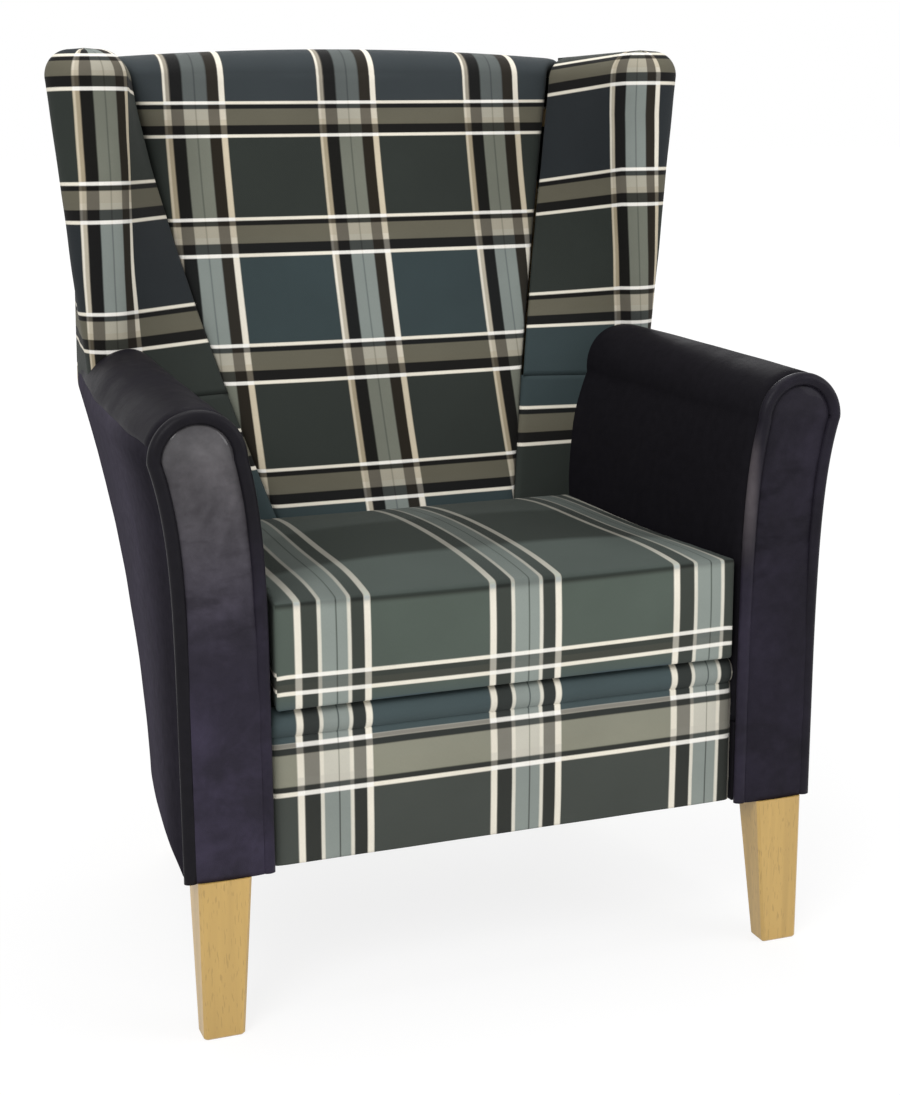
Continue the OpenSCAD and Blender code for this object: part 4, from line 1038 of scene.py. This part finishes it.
def border_surface(s, d):
    """The front border: from behind the roll, over it, down its front to a crease, and down the flat panel to
    a turned-under foot. Each row runs across between the arms."""
    r, inset = 0.0160, 0.0150
    cy, cz = inset + r, s.deck_h - 0.001 - r
    roll_start, roll_end, roll_top = 35, 232, 20
    a = np.linspace(np.radians(roll_start), np.radians(roll_end), 40)
    roll = np.stack([cy + (r - d) * np.cos(a), cz + (r - d) * np.sin(a)], -1)
    # the panel starts in the crease below the roll and comes forward over a short run
    crease_d, forward_d, forward_run = 0.0045, 0.0022, 0.02
    z = np.linspace(roll[-1, 1] - 0.001, s.leg_h + 0.001, 60)
    y_panel = inset + crease_d + d - forward_d * smooth((roll[-1, 1] - z) / forward_run)
    panel = np.stack([y_panel, z], -1)
    foot = np.array([[inset + 0.005 + d, s.leg_h + d]])
    line = np.concatenate([roll, panel, foot])
    h = np.linspace(-1, 1, 121)[None, :]
    t = np.clip((line[:, :1] - s.front) / (arm_end_y(s, s.leg_h) - s.front), 0, 1)
    half = arm_in(s, t, s.leg_h) - 0.0006
    half = np.minimum(half, arm_in(s, t, line[:, 1:]) - 0.0004)
    low = sink(half * (1 - np.abs(h)), 0.012, 0.003)
    bulge_d, bulge_h = 0.0022, 0.14
    bulge = bulge_d * np.sin(np.pi * np.clip((line[:, 1:] - s.leg_h) / bulge_h, 0, 1)) * (1 - h**4)
    x = half * h
    y = line[:, :1] + low - bulge + ripple(x, line[:, 1:] * 1.5, 0.0005)
    zz = line[:, 1:] - 0.4 * low * (line[:, 1:] > cz)
    run = along(line, 0)
    up = s.deck_h - run + run[roll_top]
    return place(s, x, y, zz), np.stack([x, up[:, None] + 0 * x], -1)


def outside_back_surface(s, d):
    """The outside back: the sloping plane from the frame's foot to the lap, slightly sunk at its edges."""
    top = s.back_spring - 0.019
    z = np.linspace(s.leg_h + 0.0005, top, 90)[:, None]
    h = np.linspace(-1, 1, 81)[None, :]
    half = outside_half(s, z)
    ends = np.minimum(z - s.leg_h, top + 0.001 - z)
    edge = np.minimum(half * (1 - np.abs(h)), ends + 0 * h)
    y = outside_y(s, z) - d - sink(edge, 0.008, 0.0028) + ripple(half * h, z, 0.0007)
    return place(s, half * h, y, z + 0 * h), np.stack([half * h, z + 0 * h], -1)


def cushion_outline(s, a, b, d):
    """A place on the cushion in plan: a across from -1 to 1, b from front to back, its sides drawn in
    between the corners, moved in by d."""
    front, back, draw = 0.006, s.lumbar_d - 0.002, 0.004
    y = mix(front + d, back - d, b)
    t = np.clip((y - s.front) / (arm_end_y(s, s.deck_h) - s.front), 0, 1)
    half = arm_in(s, t, s.deck_h) - 0.003 - draw * np.sin(np.pi * (y - front) / (back - front))
    bow = draw * (1 - a**2) * np.where(b < 0.5, 1, -1) * np.abs(1 - 2 * b)
    return a * (half - d), y + bow


def cushion_rise(a, b):
    """The crown of the cushion's top: a fourth-power dome both ways."""
    return (1 - np.abs(a) ** 4) * (1 - np.abs(2 * b - 1) ** 4)


# Operators

# the camera that the photograph was solved for: its place, its yaw, pitch and roll in degrees, and its lens
CAMERA_PLACE = (-0.72352, -2.04877, 0.9282)
CAMERA_TURN = (20.52, 13.26, -0.32)
LENS_MM, SENSOR_MM = 62.33, 36.0
# each light's place, the side of its square, its power in watts, and the height that it is aimed at
LIGHTS = {
    "key_light": ((-1.9, -2.3, 2.6), 1.6, 62, 0.55),
    "fill_light": ((2.4, -1.9, 1.7), 1.8, 26, 0.5),
    "top_light": ((0.0, 0.3, 3.0), 2.2, 34, 0.5),
    "rear_light": ((0.8, 2.6, 1.9), 1.8, 20, 0.5),
}
FLOOR_HALF = 30


class FIRESIDE_OT_stage(bpy.types.Operator):
    """Make the pale floor, the soft studio light and the camera at the photograph's angle"""

    bl_idname = "fireside.stage"
    bl_label = "Studio"

    def execute(self, context):
        scene = context.scene
        scene.view_settings.view_transform = "Standard"
        floor = bpy.data.meshes.new("floor")
        corners = [(x * FLOOR_HALF, y * FLOOR_HALF, 0) for x, y in ((-1, -1), (1, -1), (1, 1), (-1, 1))]
        floor.from_pydata(corners, [], [(0, 1, 2, 3)])
        floor.materials.append(pale_floor())
        put("floor", floor)
        scene.world = white_world()
        for name, (where, side, power, aim) in LIGHTS.items():
            lamp = bpy.data.lights.new(name, "AREA")
            lamp.shape = "RECTANGLE"
            lamp.size = lamp.size_y = side
            lamp.energy = power
            light = put(name, lamp)
            light.location = where
            x, y, z = where
            tilt = math.atan2(math.hypot(x, y), z - aim)
            light.rotation_euler = (tilt, 0, math.atan2(x, -y))
        scene.camera = photo_camera()
        return {"FINISHED"}


def white_world():
    """A studio world that is white where it is seen or mirrored, and a softer light on everything else."""
    world = bpy.data.worlds.new("studio")
    world.use_nodes = True
    tree = world.node_tree
    rays = add(tree, "LightPath")
    mirrored = out(rays, "Is Glossy Ray").math("MAXIMUM", out(rays, "Is Transmission Ray"))
    seen = out(rays, "Is Camera Ray").math("MAXIMUM", mirrored)
    fill(tree.nodes["Background"], {"Color": (1, 1, 1), "Strength": seen * 0.55 + 0.45})
    return world


def photo_camera():
    """The camera at the photograph's place, from its turn as right, up and backward directions."""
    lens = bpy.data.cameras.new("camera")
    lens.lens, lens.sensor_width, lens.sensor_fit = LENS_MM, SENSOR_MM, "AUTO"
    camera = put("camera", lens)
    yaw, pitch, roll = (math.radians(angle) for angle in CAMERA_TURN)
    ahead = np.array([math.sin(yaw) * math.cos(pitch), math.cos(yaw) * math.cos(pitch), -math.sin(pitch)])
    level = np.array([math.cos(yaw), -math.sin(yaw), 0.0])
    steep = np.cross(level, ahead)
    turn = np.eye(4)
    turn[:3, 0] = math.cos(roll) * level + math.sin(roll) * steep
    turn[:3, 1] = -math.sin(roll) * level + math.cos(roll) * steep
    turn[:3, 2] = -ahead
    turn[:3, 3] = CAMERA_PLACE
    camera.matrix_world = Matrix(turn.tolist())
    return camera


def pale_floor():
    """A pale floor that keeps the chair's soft shadow and turns plain white away from it."""
    finish, tree, shader = material("pale_floor", rough=0.9, spec=0.0)
    fill(shader, {"Base Color": (0.86, 0.86, 0.86)})
    glow = add(tree, "Emission", {"Strength": 1.06})
    radius = out(add(tree, "VectorMath", {0: object_place(tree)}, operation="LENGTH"), "Value")
    rays = add(tree, "LightPath")
    seen = out(rays, "Is Camera Ray").math("MAXIMUM", out(rays, "Is Glossy Ray"))
    white = seen * fade(radius, 0.6, 2.0, 0.78, 1.0)
    both = add(tree, "MixShader", {0: white, 1: out(shader), 2: out(glow)})
    fill(tree.nodes["Material Output"], {"Surface": out(both)})
    return finish


# how the cloth on the inside back is scaled to the pattern, across and up
BACK_SCALE = (210 / 190, 141 / 149.1)
BACK_BAND = 0.4688


class FIRESIDE_OT_back(bpy.types.Operator):
    """Make the plaid inside back, from behind the cushion over the top edge"""

    bl_idname = "fireside.inside_back"
    bl_label = "Inside back"

    def execute(self, context):
        s = sizes()
        front, rear = inside_back_surface(s, 0.0), inside_back_surface(s, 0.018)
        middle = front.shape[1] // 2
        run = along(front[:, middle : middle + 1], 0)
        across = front[..., 0]
        up = s.tuck_z + run + 0 * across
        # the cloth is drawn up a little between its lowest and highest bands
        low_band, band_run, drawn = 0.5164, 0.4473, 0.0093
        up -= drawn * np.sin(np.pi * np.clip((up - low_band) / band_run, 0, 1) ** 1.8)
        piece = closed_pad("inside_back", front, rear, np.stack([across, up], -1))
        # painted shade: the back's top row has a darker, greyer second ground and muted greys
        painted_dusk = ((0.038, 0.046, 0.050), 0.964, True)
        cloth = plaid("plaid_inside_back", -0.003, BACK_BAND, BACK_SCALE, soft=1.0, painted_dusk=painted_dusk)
        finish_piece(piece, cloth, "plaid_fabric", "inside_back_cover", "back_foam", padded=0.6)
        return {"FINISHED"}


# each wing's stripe and band, how its cloth is scaled to the pattern, and whether its grounds are swapped
WING_CLOTH = {
    "left": dict(stripe_at=-0.0215, band_at=0.6515, scale=(-1.19, 141 / 145), turned=True),
    "right": dict(stripe_at=-0.014, band_at=0.656, scale=(1.27, 141 / 145)),
}


def lay_askew(grid):
    """Lays a wing's cloth map slightly askew: its bands fall towards the seam."""
    across = np.clip(-grid[..., 0] - 0.040, 0, 0.2)
    grid[..., 0] += 0.012 * np.clip((grid[..., 1] - 0.66) / 0.25, 0, 1)
    up = grid[..., 1]
    fall = smooth((up - 0.55) / 0.20) * (1 - 0.5 * smooth((up - 0.87) / 0.08))
    grid[..., 1] += 0.11 * across * fall


class FIRESIDE_OT_wings(bpy.types.Operator):
    """Make the two plaid wings and the strips below them"""

    bl_idname = "fireside.wings"
    bl_label = "Wings"

    def execute(self, context):
        s = sizes()
        points, uv = wing_surface(s)
        strip, strip_uv = strip_surface(s, 0.0)
        strip_back, _ = strip_surface(s, 0.012)
        around, i = wrapped(*points.shape[:2])
        # the foot is closed by a ring drawn in to a third, inside the arm
        middle = points[0].mean(0)
        inner = middle + (points[0] - middle) * 0.35
        k = i.size + np.arange(len(inner))
        faces = np.concatenate([around, np.stack([np.roll(i[0], -1), i[0], k, np.roll(k, -1)], -1)])
        for side, sign in SIDES:
            turn = np.array([sign, 1, 1])
            wing_uv, low_uv = uv.copy(), strip_uv.copy()
            if side == "right":
                lay_askew(wing_uv)
                lay_askew(low_uv)
            # painted shade: the wing's second ground is darker above this height
            painted_dusk = ((0.021, 0.025, 0.028), 0.68, False)
            cloth = plaid("plaid_wing_" + side, soft=1.0, period=1.6, painted_dusk=painted_dusk, **WING_CLOTH[side])
            corners = np.concatenate([points.reshape(-1, 3), inner]) * turn
            wing_uv = np.concatenate([wing_uv.reshape(-1, 2), wing_uv[0]])
            wing = new_mesh("wing_" + side, corners, faces, wing_uv, flip=sign < 0)
            finish_piece(wing, cloth, "plaid_fabric", "wing_cover_" + side, "wing_foam_" + side, padded=0.8)
            tuck = closed_pad("wing_strip_" + side, strip * turn, strip_back * turn, low_uv, flip=sign < 0)
            finish_piece(tuck, cloth, "plaid_fabric", "wing_tuck_" + side, padded=0.5)
        return {"FINISHED"}


# each side's leathers, as the photograph shows them: the right arm cover and front are darker than the left
# ones, as painted shade, the left front takes its painted light at the top in full, and the right rolled edge
# is lighter, with a painted sheen
ARM_LEATHER = {"left": dict(bloom=0.06, spec=0.03), "right": dict(bloom=0.0, spec=0.015)}
FACING_LEATHER = {
    "left": dict(bloom=1.0, painted_top_light=1.0, spec=0.10),
    "right": dict(bloom=0.40, painted_top_light=0.10, spec=0.05),
}
BEAD_LEATHER = {"left": dict(bloom=0.03, low=0.80), "right": dict(bloom=0.28, low=0.32, streak=True)}


class FIRESIDE_OT_arms(bpy.types.Operator):
    """Make the dark arm covers and the outside arms"""

    bl_idname = "fireside.arms"
    bl_label = "Arms"

    def execute(self, context):
        s = sizes()
        top, uv = arm_surface(s, 0.0)
        under, _ = arm_surface(s, 0.016)
        outer, outer_uv = outside_arm_surface(s, 0.0)
        lining, _ = outside_arm_surface(s, 0.0030)
        # the cover's tail goes down beside the front border to the foot
        tail_end, tail_t = 0.030, 0.0060
        z = np.linspace(s.leg_h + 0.001, s.rail_top - 0.001, 30)[:, None]
        y = np.linspace(s.front + 0.0006, tail_end, 12)[None, :]
        inner = arm_in(s, 0.0, z) + 0.0004
        lap, lap_back = place(s, inner, y, z), place(s, inner + tail_t, y, z)
        for side, sign in SIDES:
            turn = np.array([sign, 1, 1])
            # the cover's outer flank carries a painted reflection, darker at the front and lighter further
            # back
            hide = leather("arm_leather_" + side, shade=(1.8, 4.0), rounded=True, **ARM_LEATHER[side])
            arm = closed_pad("arm_" + side, top * turn, under * turn, uv, flip=sign > 0)
            finish_piece(arm, hide, "dark_leather", "arm_cover_" + side, "arm_foam_" + side, padded=0.7)
            tail = closed_pad("arm_tail_" + side, lap * turn, lap_back * turn, lap[..., 1:], flip=sign < 0)
            finish_piece(tail, hide, "dark_leather")
            # the outside arm reflects almost nothing itself, and a painted reflection makes its flank lighter
            # further back
            flank = leather("outside_leather_" + side, bloom=0.05, spec=0.0, shade=(2.0, 5.8))
            name = "outside_arm_panel_" + side
            panel = closed_pad(name, outer * turn, lining * turn, outer_uv, flip=sign > 0)
            finish_piece(panel, flank, "dark_leather", "outside_arm_" + side)
        return {"FINISHED"}


class FIRESIDE_OT_facings(bpy.types.Operator):
    """Make the padded panels on the arm fronts and the rolled edges round them"""

    bl_idname = "fireside.facings"
    bl_label = "Arm fronts"

    def execute(self, context):
        s = sizes()
        field, plan = facing_surface(s)
        rear = field.copy()
        rear[..., 1] = 0.0135 - s.body_d / 2
        rings, ring_uv = bead_surface(s)
        for side, sign in SIDES:
            turn = np.array([sign, 1, 1])
            panel = closed_pad("facing_" + side, field * turn, rear * turn, plan, flip=sign < 0)
            hide = leather("facing_leather_" + side, **FACING_LEATHER[side])
            finish_piece(panel, hide, "dark_leather", "arm_facing_" + side, padded=0.8)
            bead = tube("facing_bead_" + side, rings * turn, ring_uv, flip=sign > 0)
            edge = leather("bead_leather_" + side, rough=0.42, spec=0.07, **BEAD_LEATHER[side])
            finish_piece(bead, edge, "dark_leather", "facing_roll_" + side)
        return {"FINISHED"}


class FIRESIDE_OT_border(bpy.types.Operator):
    """Make the plaid front border with its rolled top edge"""

    bl_idname = "fireside.front_border"
    bl_label = "Front border"

    def execute(self, context):
        s = sizes()
        front, uv = border_surface(s, 0.0)
        rear, _ = border_surface(s, 0.006)
        piece = closed_pad("front_border", front, rear, uv, flip=True)
        # painted light: the border's grounds and taupe are lighter copies of the cloth's own, under a pale
        # haze
        cloth = plaid(
            "plaid_front_border", 0.016, 0.2455, (1, 45 / 56), painted_haze=(0.022, 0.024, 0.021),
            grounds=((0.036, 0.057, 0.064), (0.038, 0.043, 0.038)), taupe=(0.235, 0.230, 0.175))
        finish_piece(piece, cloth, "plaid_fabric", "front_border_cover", "border_foam", padded=0.7)
        return {"FINISHED"}


class FIRESIDE_OT_outside_back(bpy.types.Operator):
    """Make the plaid outside back panel"""

    bl_idname = "fireside.outside_back"
    bl_label = "Outside back"

    def execute(self, context):
        s = sizes()
        face, uv = outside_back_surface(s, 0.0)
        inner, _ = outside_back_surface(s, 0.0030)
        piece = closed_pad("outside_back_panel", face, inner, uv, flip=True)
        cloth = plaid("plaid_outside_back", 0.0, BACK_BAND, BACK_SCALE, soft=1.0)
        finish_piece(piece, cloth, "plaid_fabric", "outside_back")
        return {"FINISHED"}


SIM_FRAMES = 20
CLOTH_SETTINGS = {
    "use_pressure": True,
    "uniform_pressure_force": 4.0,
    "quality": 4,
    "mass": 0.35,
    "tension_stiffness": 24,
    "compression_stiffness": 24,
    "bending_stiffness": 1.2,
    "vertex_group_mass": "seams",
}


def swell(piece, before, pinned, cap):
    """Puffs a closed pad by a short cloth simulation under pressure with its seams pinned, and eases each
    point's move by a hyperbolic tangent so that it stays within the cap. Gives the points."""
    scene = bpy.context.scene
    held = piece.vertex_groups.new(name="seams")
    for weight in (0.25, 0.5, 0.75):
        near = np.nonzero(np.abs(pinned - weight) < 0.126)[0]
        held.add(near.tolist(), weight, "REPLACE")
    held.add(np.nonzero(pinned > 0.87)[0].tolist(), 1.0, "REPLACE")
    sim = piece.modifiers.new("puff", "CLOTH")
    for key, value in CLOTH_SETTINGS.items():
        setattr(sim.settings, key, value)
    sim.settings.effector_weights.gravity = 0
    sim.collision_settings.use_collision = False
    sim.point_cache.frame_start, sim.point_cache.frame_end = 1, SIM_FRAMES
    for number in range(1, SIM_FRAMES + 1):
        scene.frame_set(number)
    view = piece.evaluated_get(bpy.context.evaluated_depsgraph_get())
    move = read(view.data.vertices, "co", 3) - before
    piece.modifiers.remove(sim)
    scene.frame_set(1)
    piece.vertex_groups.clear()
    far = np.linalg.norm(move, axis=1)
    eased = cap * np.tanh(far / cap)
    return before + move * (eased / np.maximum(far, 1e-9))[:, None]


class FIRESIDE_OT_cushion(bpy.types.Operator):
    """Make the loose seat cushion: a boxed, crowned form puffed by a cloth simulation, with sunk seams"""

    bl_idname = "fireside.cushion"
    bl_label = "Seat cushion"

    def execute(self, context):
        s = sizes()
        inset, top_drop, base_lift, crown_h, voxel = 0.003, 0.0015, 0.001, 0.012, 0.0055
        top_z = s.deck_h + s.cushion_t
        a = np.linspace(-1, 1, 61)[None, :]
        b = np.linspace(0, 1, 49)[:, None]
        x, y = cushion_outline(s, a, b, inset)
        top = place(s, x, y, top_z - top_drop + crown_h * cushion_rise(a, b))
        base = place(s, x, y, s.deck_h + base_lift)
        piece = closed_pad("seat_cushion_pad", top, base, np.stack([x, y], -1), body=CUSHION)
        bpy.context.view_layer.objects.active = piece
        piece.select_set(True)
        piece.data.remesh_voxel_size = voxel
        piece.data.remesh_voxel_adaptivity = 0.0
        bpy.ops.object.voxel_remesh()
        piece.select_set(False)
        mesh = piece.data
        co = read(mesh.vertices, "co", 3)
        plan = plan_distance(s, co, inset)
        high, low = np.abs(co[:, 2] - top_z + top_drop), np.abs(co[:, 2] - s.deck_h - base_lift)
        seam = np.hypot(plan, np.minimum(high, low))
        # the seams and the underside hold still
        pinned = np.clip(1.15 - seam / 0.012, 0, 1)
        pinned = np.maximum(pinned, np.clip(1 - (co[:, 2] - s.deck_h) / 0.004, 0, 1))
        co = swell(piece, co, pinned, s.puff)
        # the back half of the top stands a little higher
        back_lift, lift_start, lift_run, lift_depth = 0.0095, 0.12, 0.34, 0.05
        deep = smooth((co[:, 1] + s.body_d / 2 - lift_start) / lift_run)
        co[:, 2] += back_lift * deep * smooth((co[:, 2] - top_z + lift_depth) / lift_depth)
        co[:, 2] = np.maximum(co[:, 2], s.deck_h + 0.0006)
        write(mesh.vertices, "co", co)
        mesh.update()
        map_cushion(mesh, s, top_z)
        mesh.polygons.foreach_set("use_smooth", np.full(len(mesh.polygons), True))
        fine = piece.modifiers.new("fine", "SUBSURF")
        fine.levels = fine.render_levels = 1
        # painted light: a pale haze over the cushion's cloth
        painted_haze = (0.035, 0.040, 0.034)
        cloth = plaid("plaid_cushion", 0.014, -0.094, narrow=1.0, painted_haze=painted_haze, seat=True)
        parts = ("foam", "top_panel", "base_panel", "border", "zip_border")
        finish_piece(piece, cloth, "plaid_fabric", *("cushion_" + part for part in parts), padded=0.8)
        return {"FINISHED"}


def plan_distance(s, points, inset):
    """How far each point lies in plan from the cushion's outline."""
    ring, side = np.linspace(-1, 1, 121), np.linspace(0, 1, 81)
    edges = []
    for a, b in ((ring, 0 * ring), (ring, 0 * ring + 1), (0 * side - 1, side), (0 * side + 1, side)):
        x, y = cushion_outline(s, a, b, inset)
        edges.append(np.stack([x, y - s.body_d / 2], -1))
    away = points[:, None, :2] - np.concatenate(edges)[None]
    return np.sqrt((away**2).sum(-1).min(1))


def map_cushion(mesh, s, top_z):
    """The cushion's cloth map: the top is laid flat, and the border goes down the front, the sides and the
    back from the top's height. A face belongs to a side where its normal's share that way is over 0.62."""
    facing = 0.62
    for layer in list(mesh.uv_layers):
        mesh.uv_layers.remove(layer)
    layer = mesh.uv_layers.new(name="cloth")
    corner = read(mesh.loops, "vertex_index", kind=np.int32)
    total = read(mesh.polygons, "loop_total", kind=np.int32)
    n = np.repeat(read(mesh.polygons, "normal", 3), total, axis=0)
    p = read(mesh.vertices, "co", 3)[corner]
    run = p[:, 1] - (0.006 - s.body_d / 2)
    below = top_z - p[:, 2]
    back = np.clip(run / 0.36, 0, 1)
    u = p[:, 0] * (1 + 0.15 * back) + 0.024 * back
    v = np.maximum(run, 0) - np.maximum(below, 0)
    side = np.abs(n[:, 0]) > facing
    rear = (n[:, 1] > facing) & ~side
    under = n[:, 2] < -facing
    u = np.where(side, np.sign(n[:, 0]) * (0.262 + run), u)
    v = np.where(under, run - 0.4, np.where(side | rear, -below, v))
    write(layer.data, "uv", np.stack([u, v], -1))


class FIRESIDE_OT_deck(bpy.types.Operator):
    """Make the platform cloth under the cushion and the dust cover under the seat"""

    bl_idname = "fireside.deck"
    bl_label = "Platform and dust cover"

    def execute(self, context):
        s = sizes()
        h = np.linspace(-1, 1, 81)[None, :]
        low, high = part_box("seat_platform")
        y = np.linspace(low.y, high.y, 60)[:, None]
        t = np.clip((y + s.body_d / 2 - s.front) / (arm_end_y(s, s.rail_top) - s.front), 0, 1)
        half = arm_in(s, t, s.rail_top) - 0.0025
        edge = np.minimum(half * (1 - np.abs(h)), np.minimum(y - low.y, high.y - y))
        # the platform dips in its middle, and a line of stitching runs round it
        dish = 0.004 * (1 - h**2) * np.sin(np.pi * (y - low.y) / (high.y - low.y))
        stitch_in, stitch_half, stitch_deep = 0.045, 0.0022, 0.0016
        groove = np.exp(-((np.abs(edge - stitch_in) / stitch_half) ** 2)) * stitch_deep
        points = stack(half * h, y, high.z - sink(edge, 0.014, 0.006) - dish - groove)
        piece = closed_pad("seat_deck", points, stack(half * h, y, low.z + 0.002), points[..., :2])
        platform = plain_cloth("platform_cloth", (0.030, 0.031, 0.034))
        finish_piece(piece, platform, "plain_fabric", "seat_platform", "spring_cover", padded=0.4)

        low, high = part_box("dust_cover")
        y = np.linspace(low.y, high.y, 50)[:, None]
        way = (y - low.y) / (high.y - low.y)
        front_half, rear_half = 0.3306, 0.2576
        # it goes between the leg blocks at the front and at the rear
        front_blocks, front_clear, rear_blocks, rear_clear, open_half = -0.2655, 0.279, 0.137, 0.213, 9.0
        clear = np.where(y < front_blocks, front_clear, np.where(y > rear_blocks, rear_clear, open_half))
        half = np.minimum(mix(front_half, rear_half, way), clear)
        x = half * h
        sag = 0.0006 * np.cos(h * np.pi / 2) * np.sin(np.pi * way)
        face = stack(x, y, low.z + 0.0005 + sag + ripple(x, y, 0.0002))
        cover = closed_pad("dust_cover_cloth", face, stack(x, y, high.z), face[..., :2], flip=True)
        dust = plain_cloth("dust_cloth", (0.018, 0.018, 0.018), pitch=0.0009, rough=0.95)
        finish_piece(cover, dust, "dust_cloth", "dust_cover")
        return {"FINISHED"}


class FIRESIDE_OT_frame(bpy.types.Operator):
    """Finish the wood, steel and webbing that the solids already shape"""

    bl_idname = "fireside.frame_finish"
    bl_label = "Frame and legs"

    def execute(self, context):
        beech = bpy.context.scene.fireside_cloth.beech
        finishes = {
            "beech_legs": timber("lacquered_beech", beech, [part * 0.62 for part in beech], 0.42, 0.25),
            "frame_beech": timber("sawn_beech", (0.56, 0.40, 0.20), (0.36, 0.24, 0.11), 0.75, 0.0),
            "steel": zinc("zinc_plate"),
            "hessian": plain_cloth("jute_web", (0.34, 0.25, 0.13), pitch=0.003, rough=0.9),
        }
        slots = {part["node"]: part["material_slot"] for part in frame["record"]["subparts"]}
        for name, node in frame["nodes"].items():
            if slots[name] in finishes:
                finish_piece(node, finishes[slots[name]], slots[name])
        return {"FINISHED"}


class FIRESIDE_PT_panel(bpy.types.Panel):
    """Sizes, colours and one button for each piece"""

    bl_idname = "FIRESIDE_PT_panel"
    bl_label = "Fireside Chair"
    bl_space_type = "VIEW_3D"
    bl_region_type = "UI"
    bl_category = "Fireside Chair"

    def draw(self, context):
        layout = self.layout
        for owner in (context.scene.fireside_sizes, context.scene.fireside_cloth):
            box = layout.box()
            for key in type(owner).__annotations__:
                box.prop(owner, key)
        for step in STEPS:
            layout.operator(step.bl_idname)


STEPS = (
    FIRESIDE_OT_stage,
    FIRESIDE_OT_back,
    FIRESIDE_OT_wings,
    FIRESIDE_OT_arms,
    FIRESIDE_OT_facings,
    FIRESIDE_OT_border,
    FIRESIDE_OT_outside_back,
    FIRESIDE_OT_cushion,
    FIRESIDE_OT_deck,
    FIRESIDE_OT_frame,
)
CLASSES = (FiresideSizes, FiresideCloth, *STEPS, FIRESIDE_PT_panel)


def register():
    """Registers the classes and hangs the properties on the scene."""
    for cls in CLASSES:
        bpy.utils.register_class(cls)
    bpy.types.Scene.fireside_sizes = bpy.props.PointerProperty(type=FiresideSizes)
    bpy.types.Scene.fireside_cloth = bpy.props.PointerProperty(type=FiresideCloth)


def unregister():
    """Takes the properties and classes away again."""
    del bpy.types.Scene.fireside_cloth
    del bpy.types.Scene.fireside_sizes
    for cls in reversed(CLASSES):
        bpy.utils.unregister_class(cls)


def main():
    """Builds the stage and every piece."""
    register()
    bpy.ops.fireside.stage()
    bpy.ops.fireside.inside_back()
    bpy.ops.fireside.wings()
    bpy.ops.fireside.arms()
    bpy.ops.fireside.facings()
    bpy.ops.fireside.front_border()
    bpy.ops.fireside.outside_back()
    bpy.ops.fireside.cushion()
    bpy.ops.fireside.deck()
    bpy.ops.fireside.frame_finish()


if __name__ == "__main__":
    main()
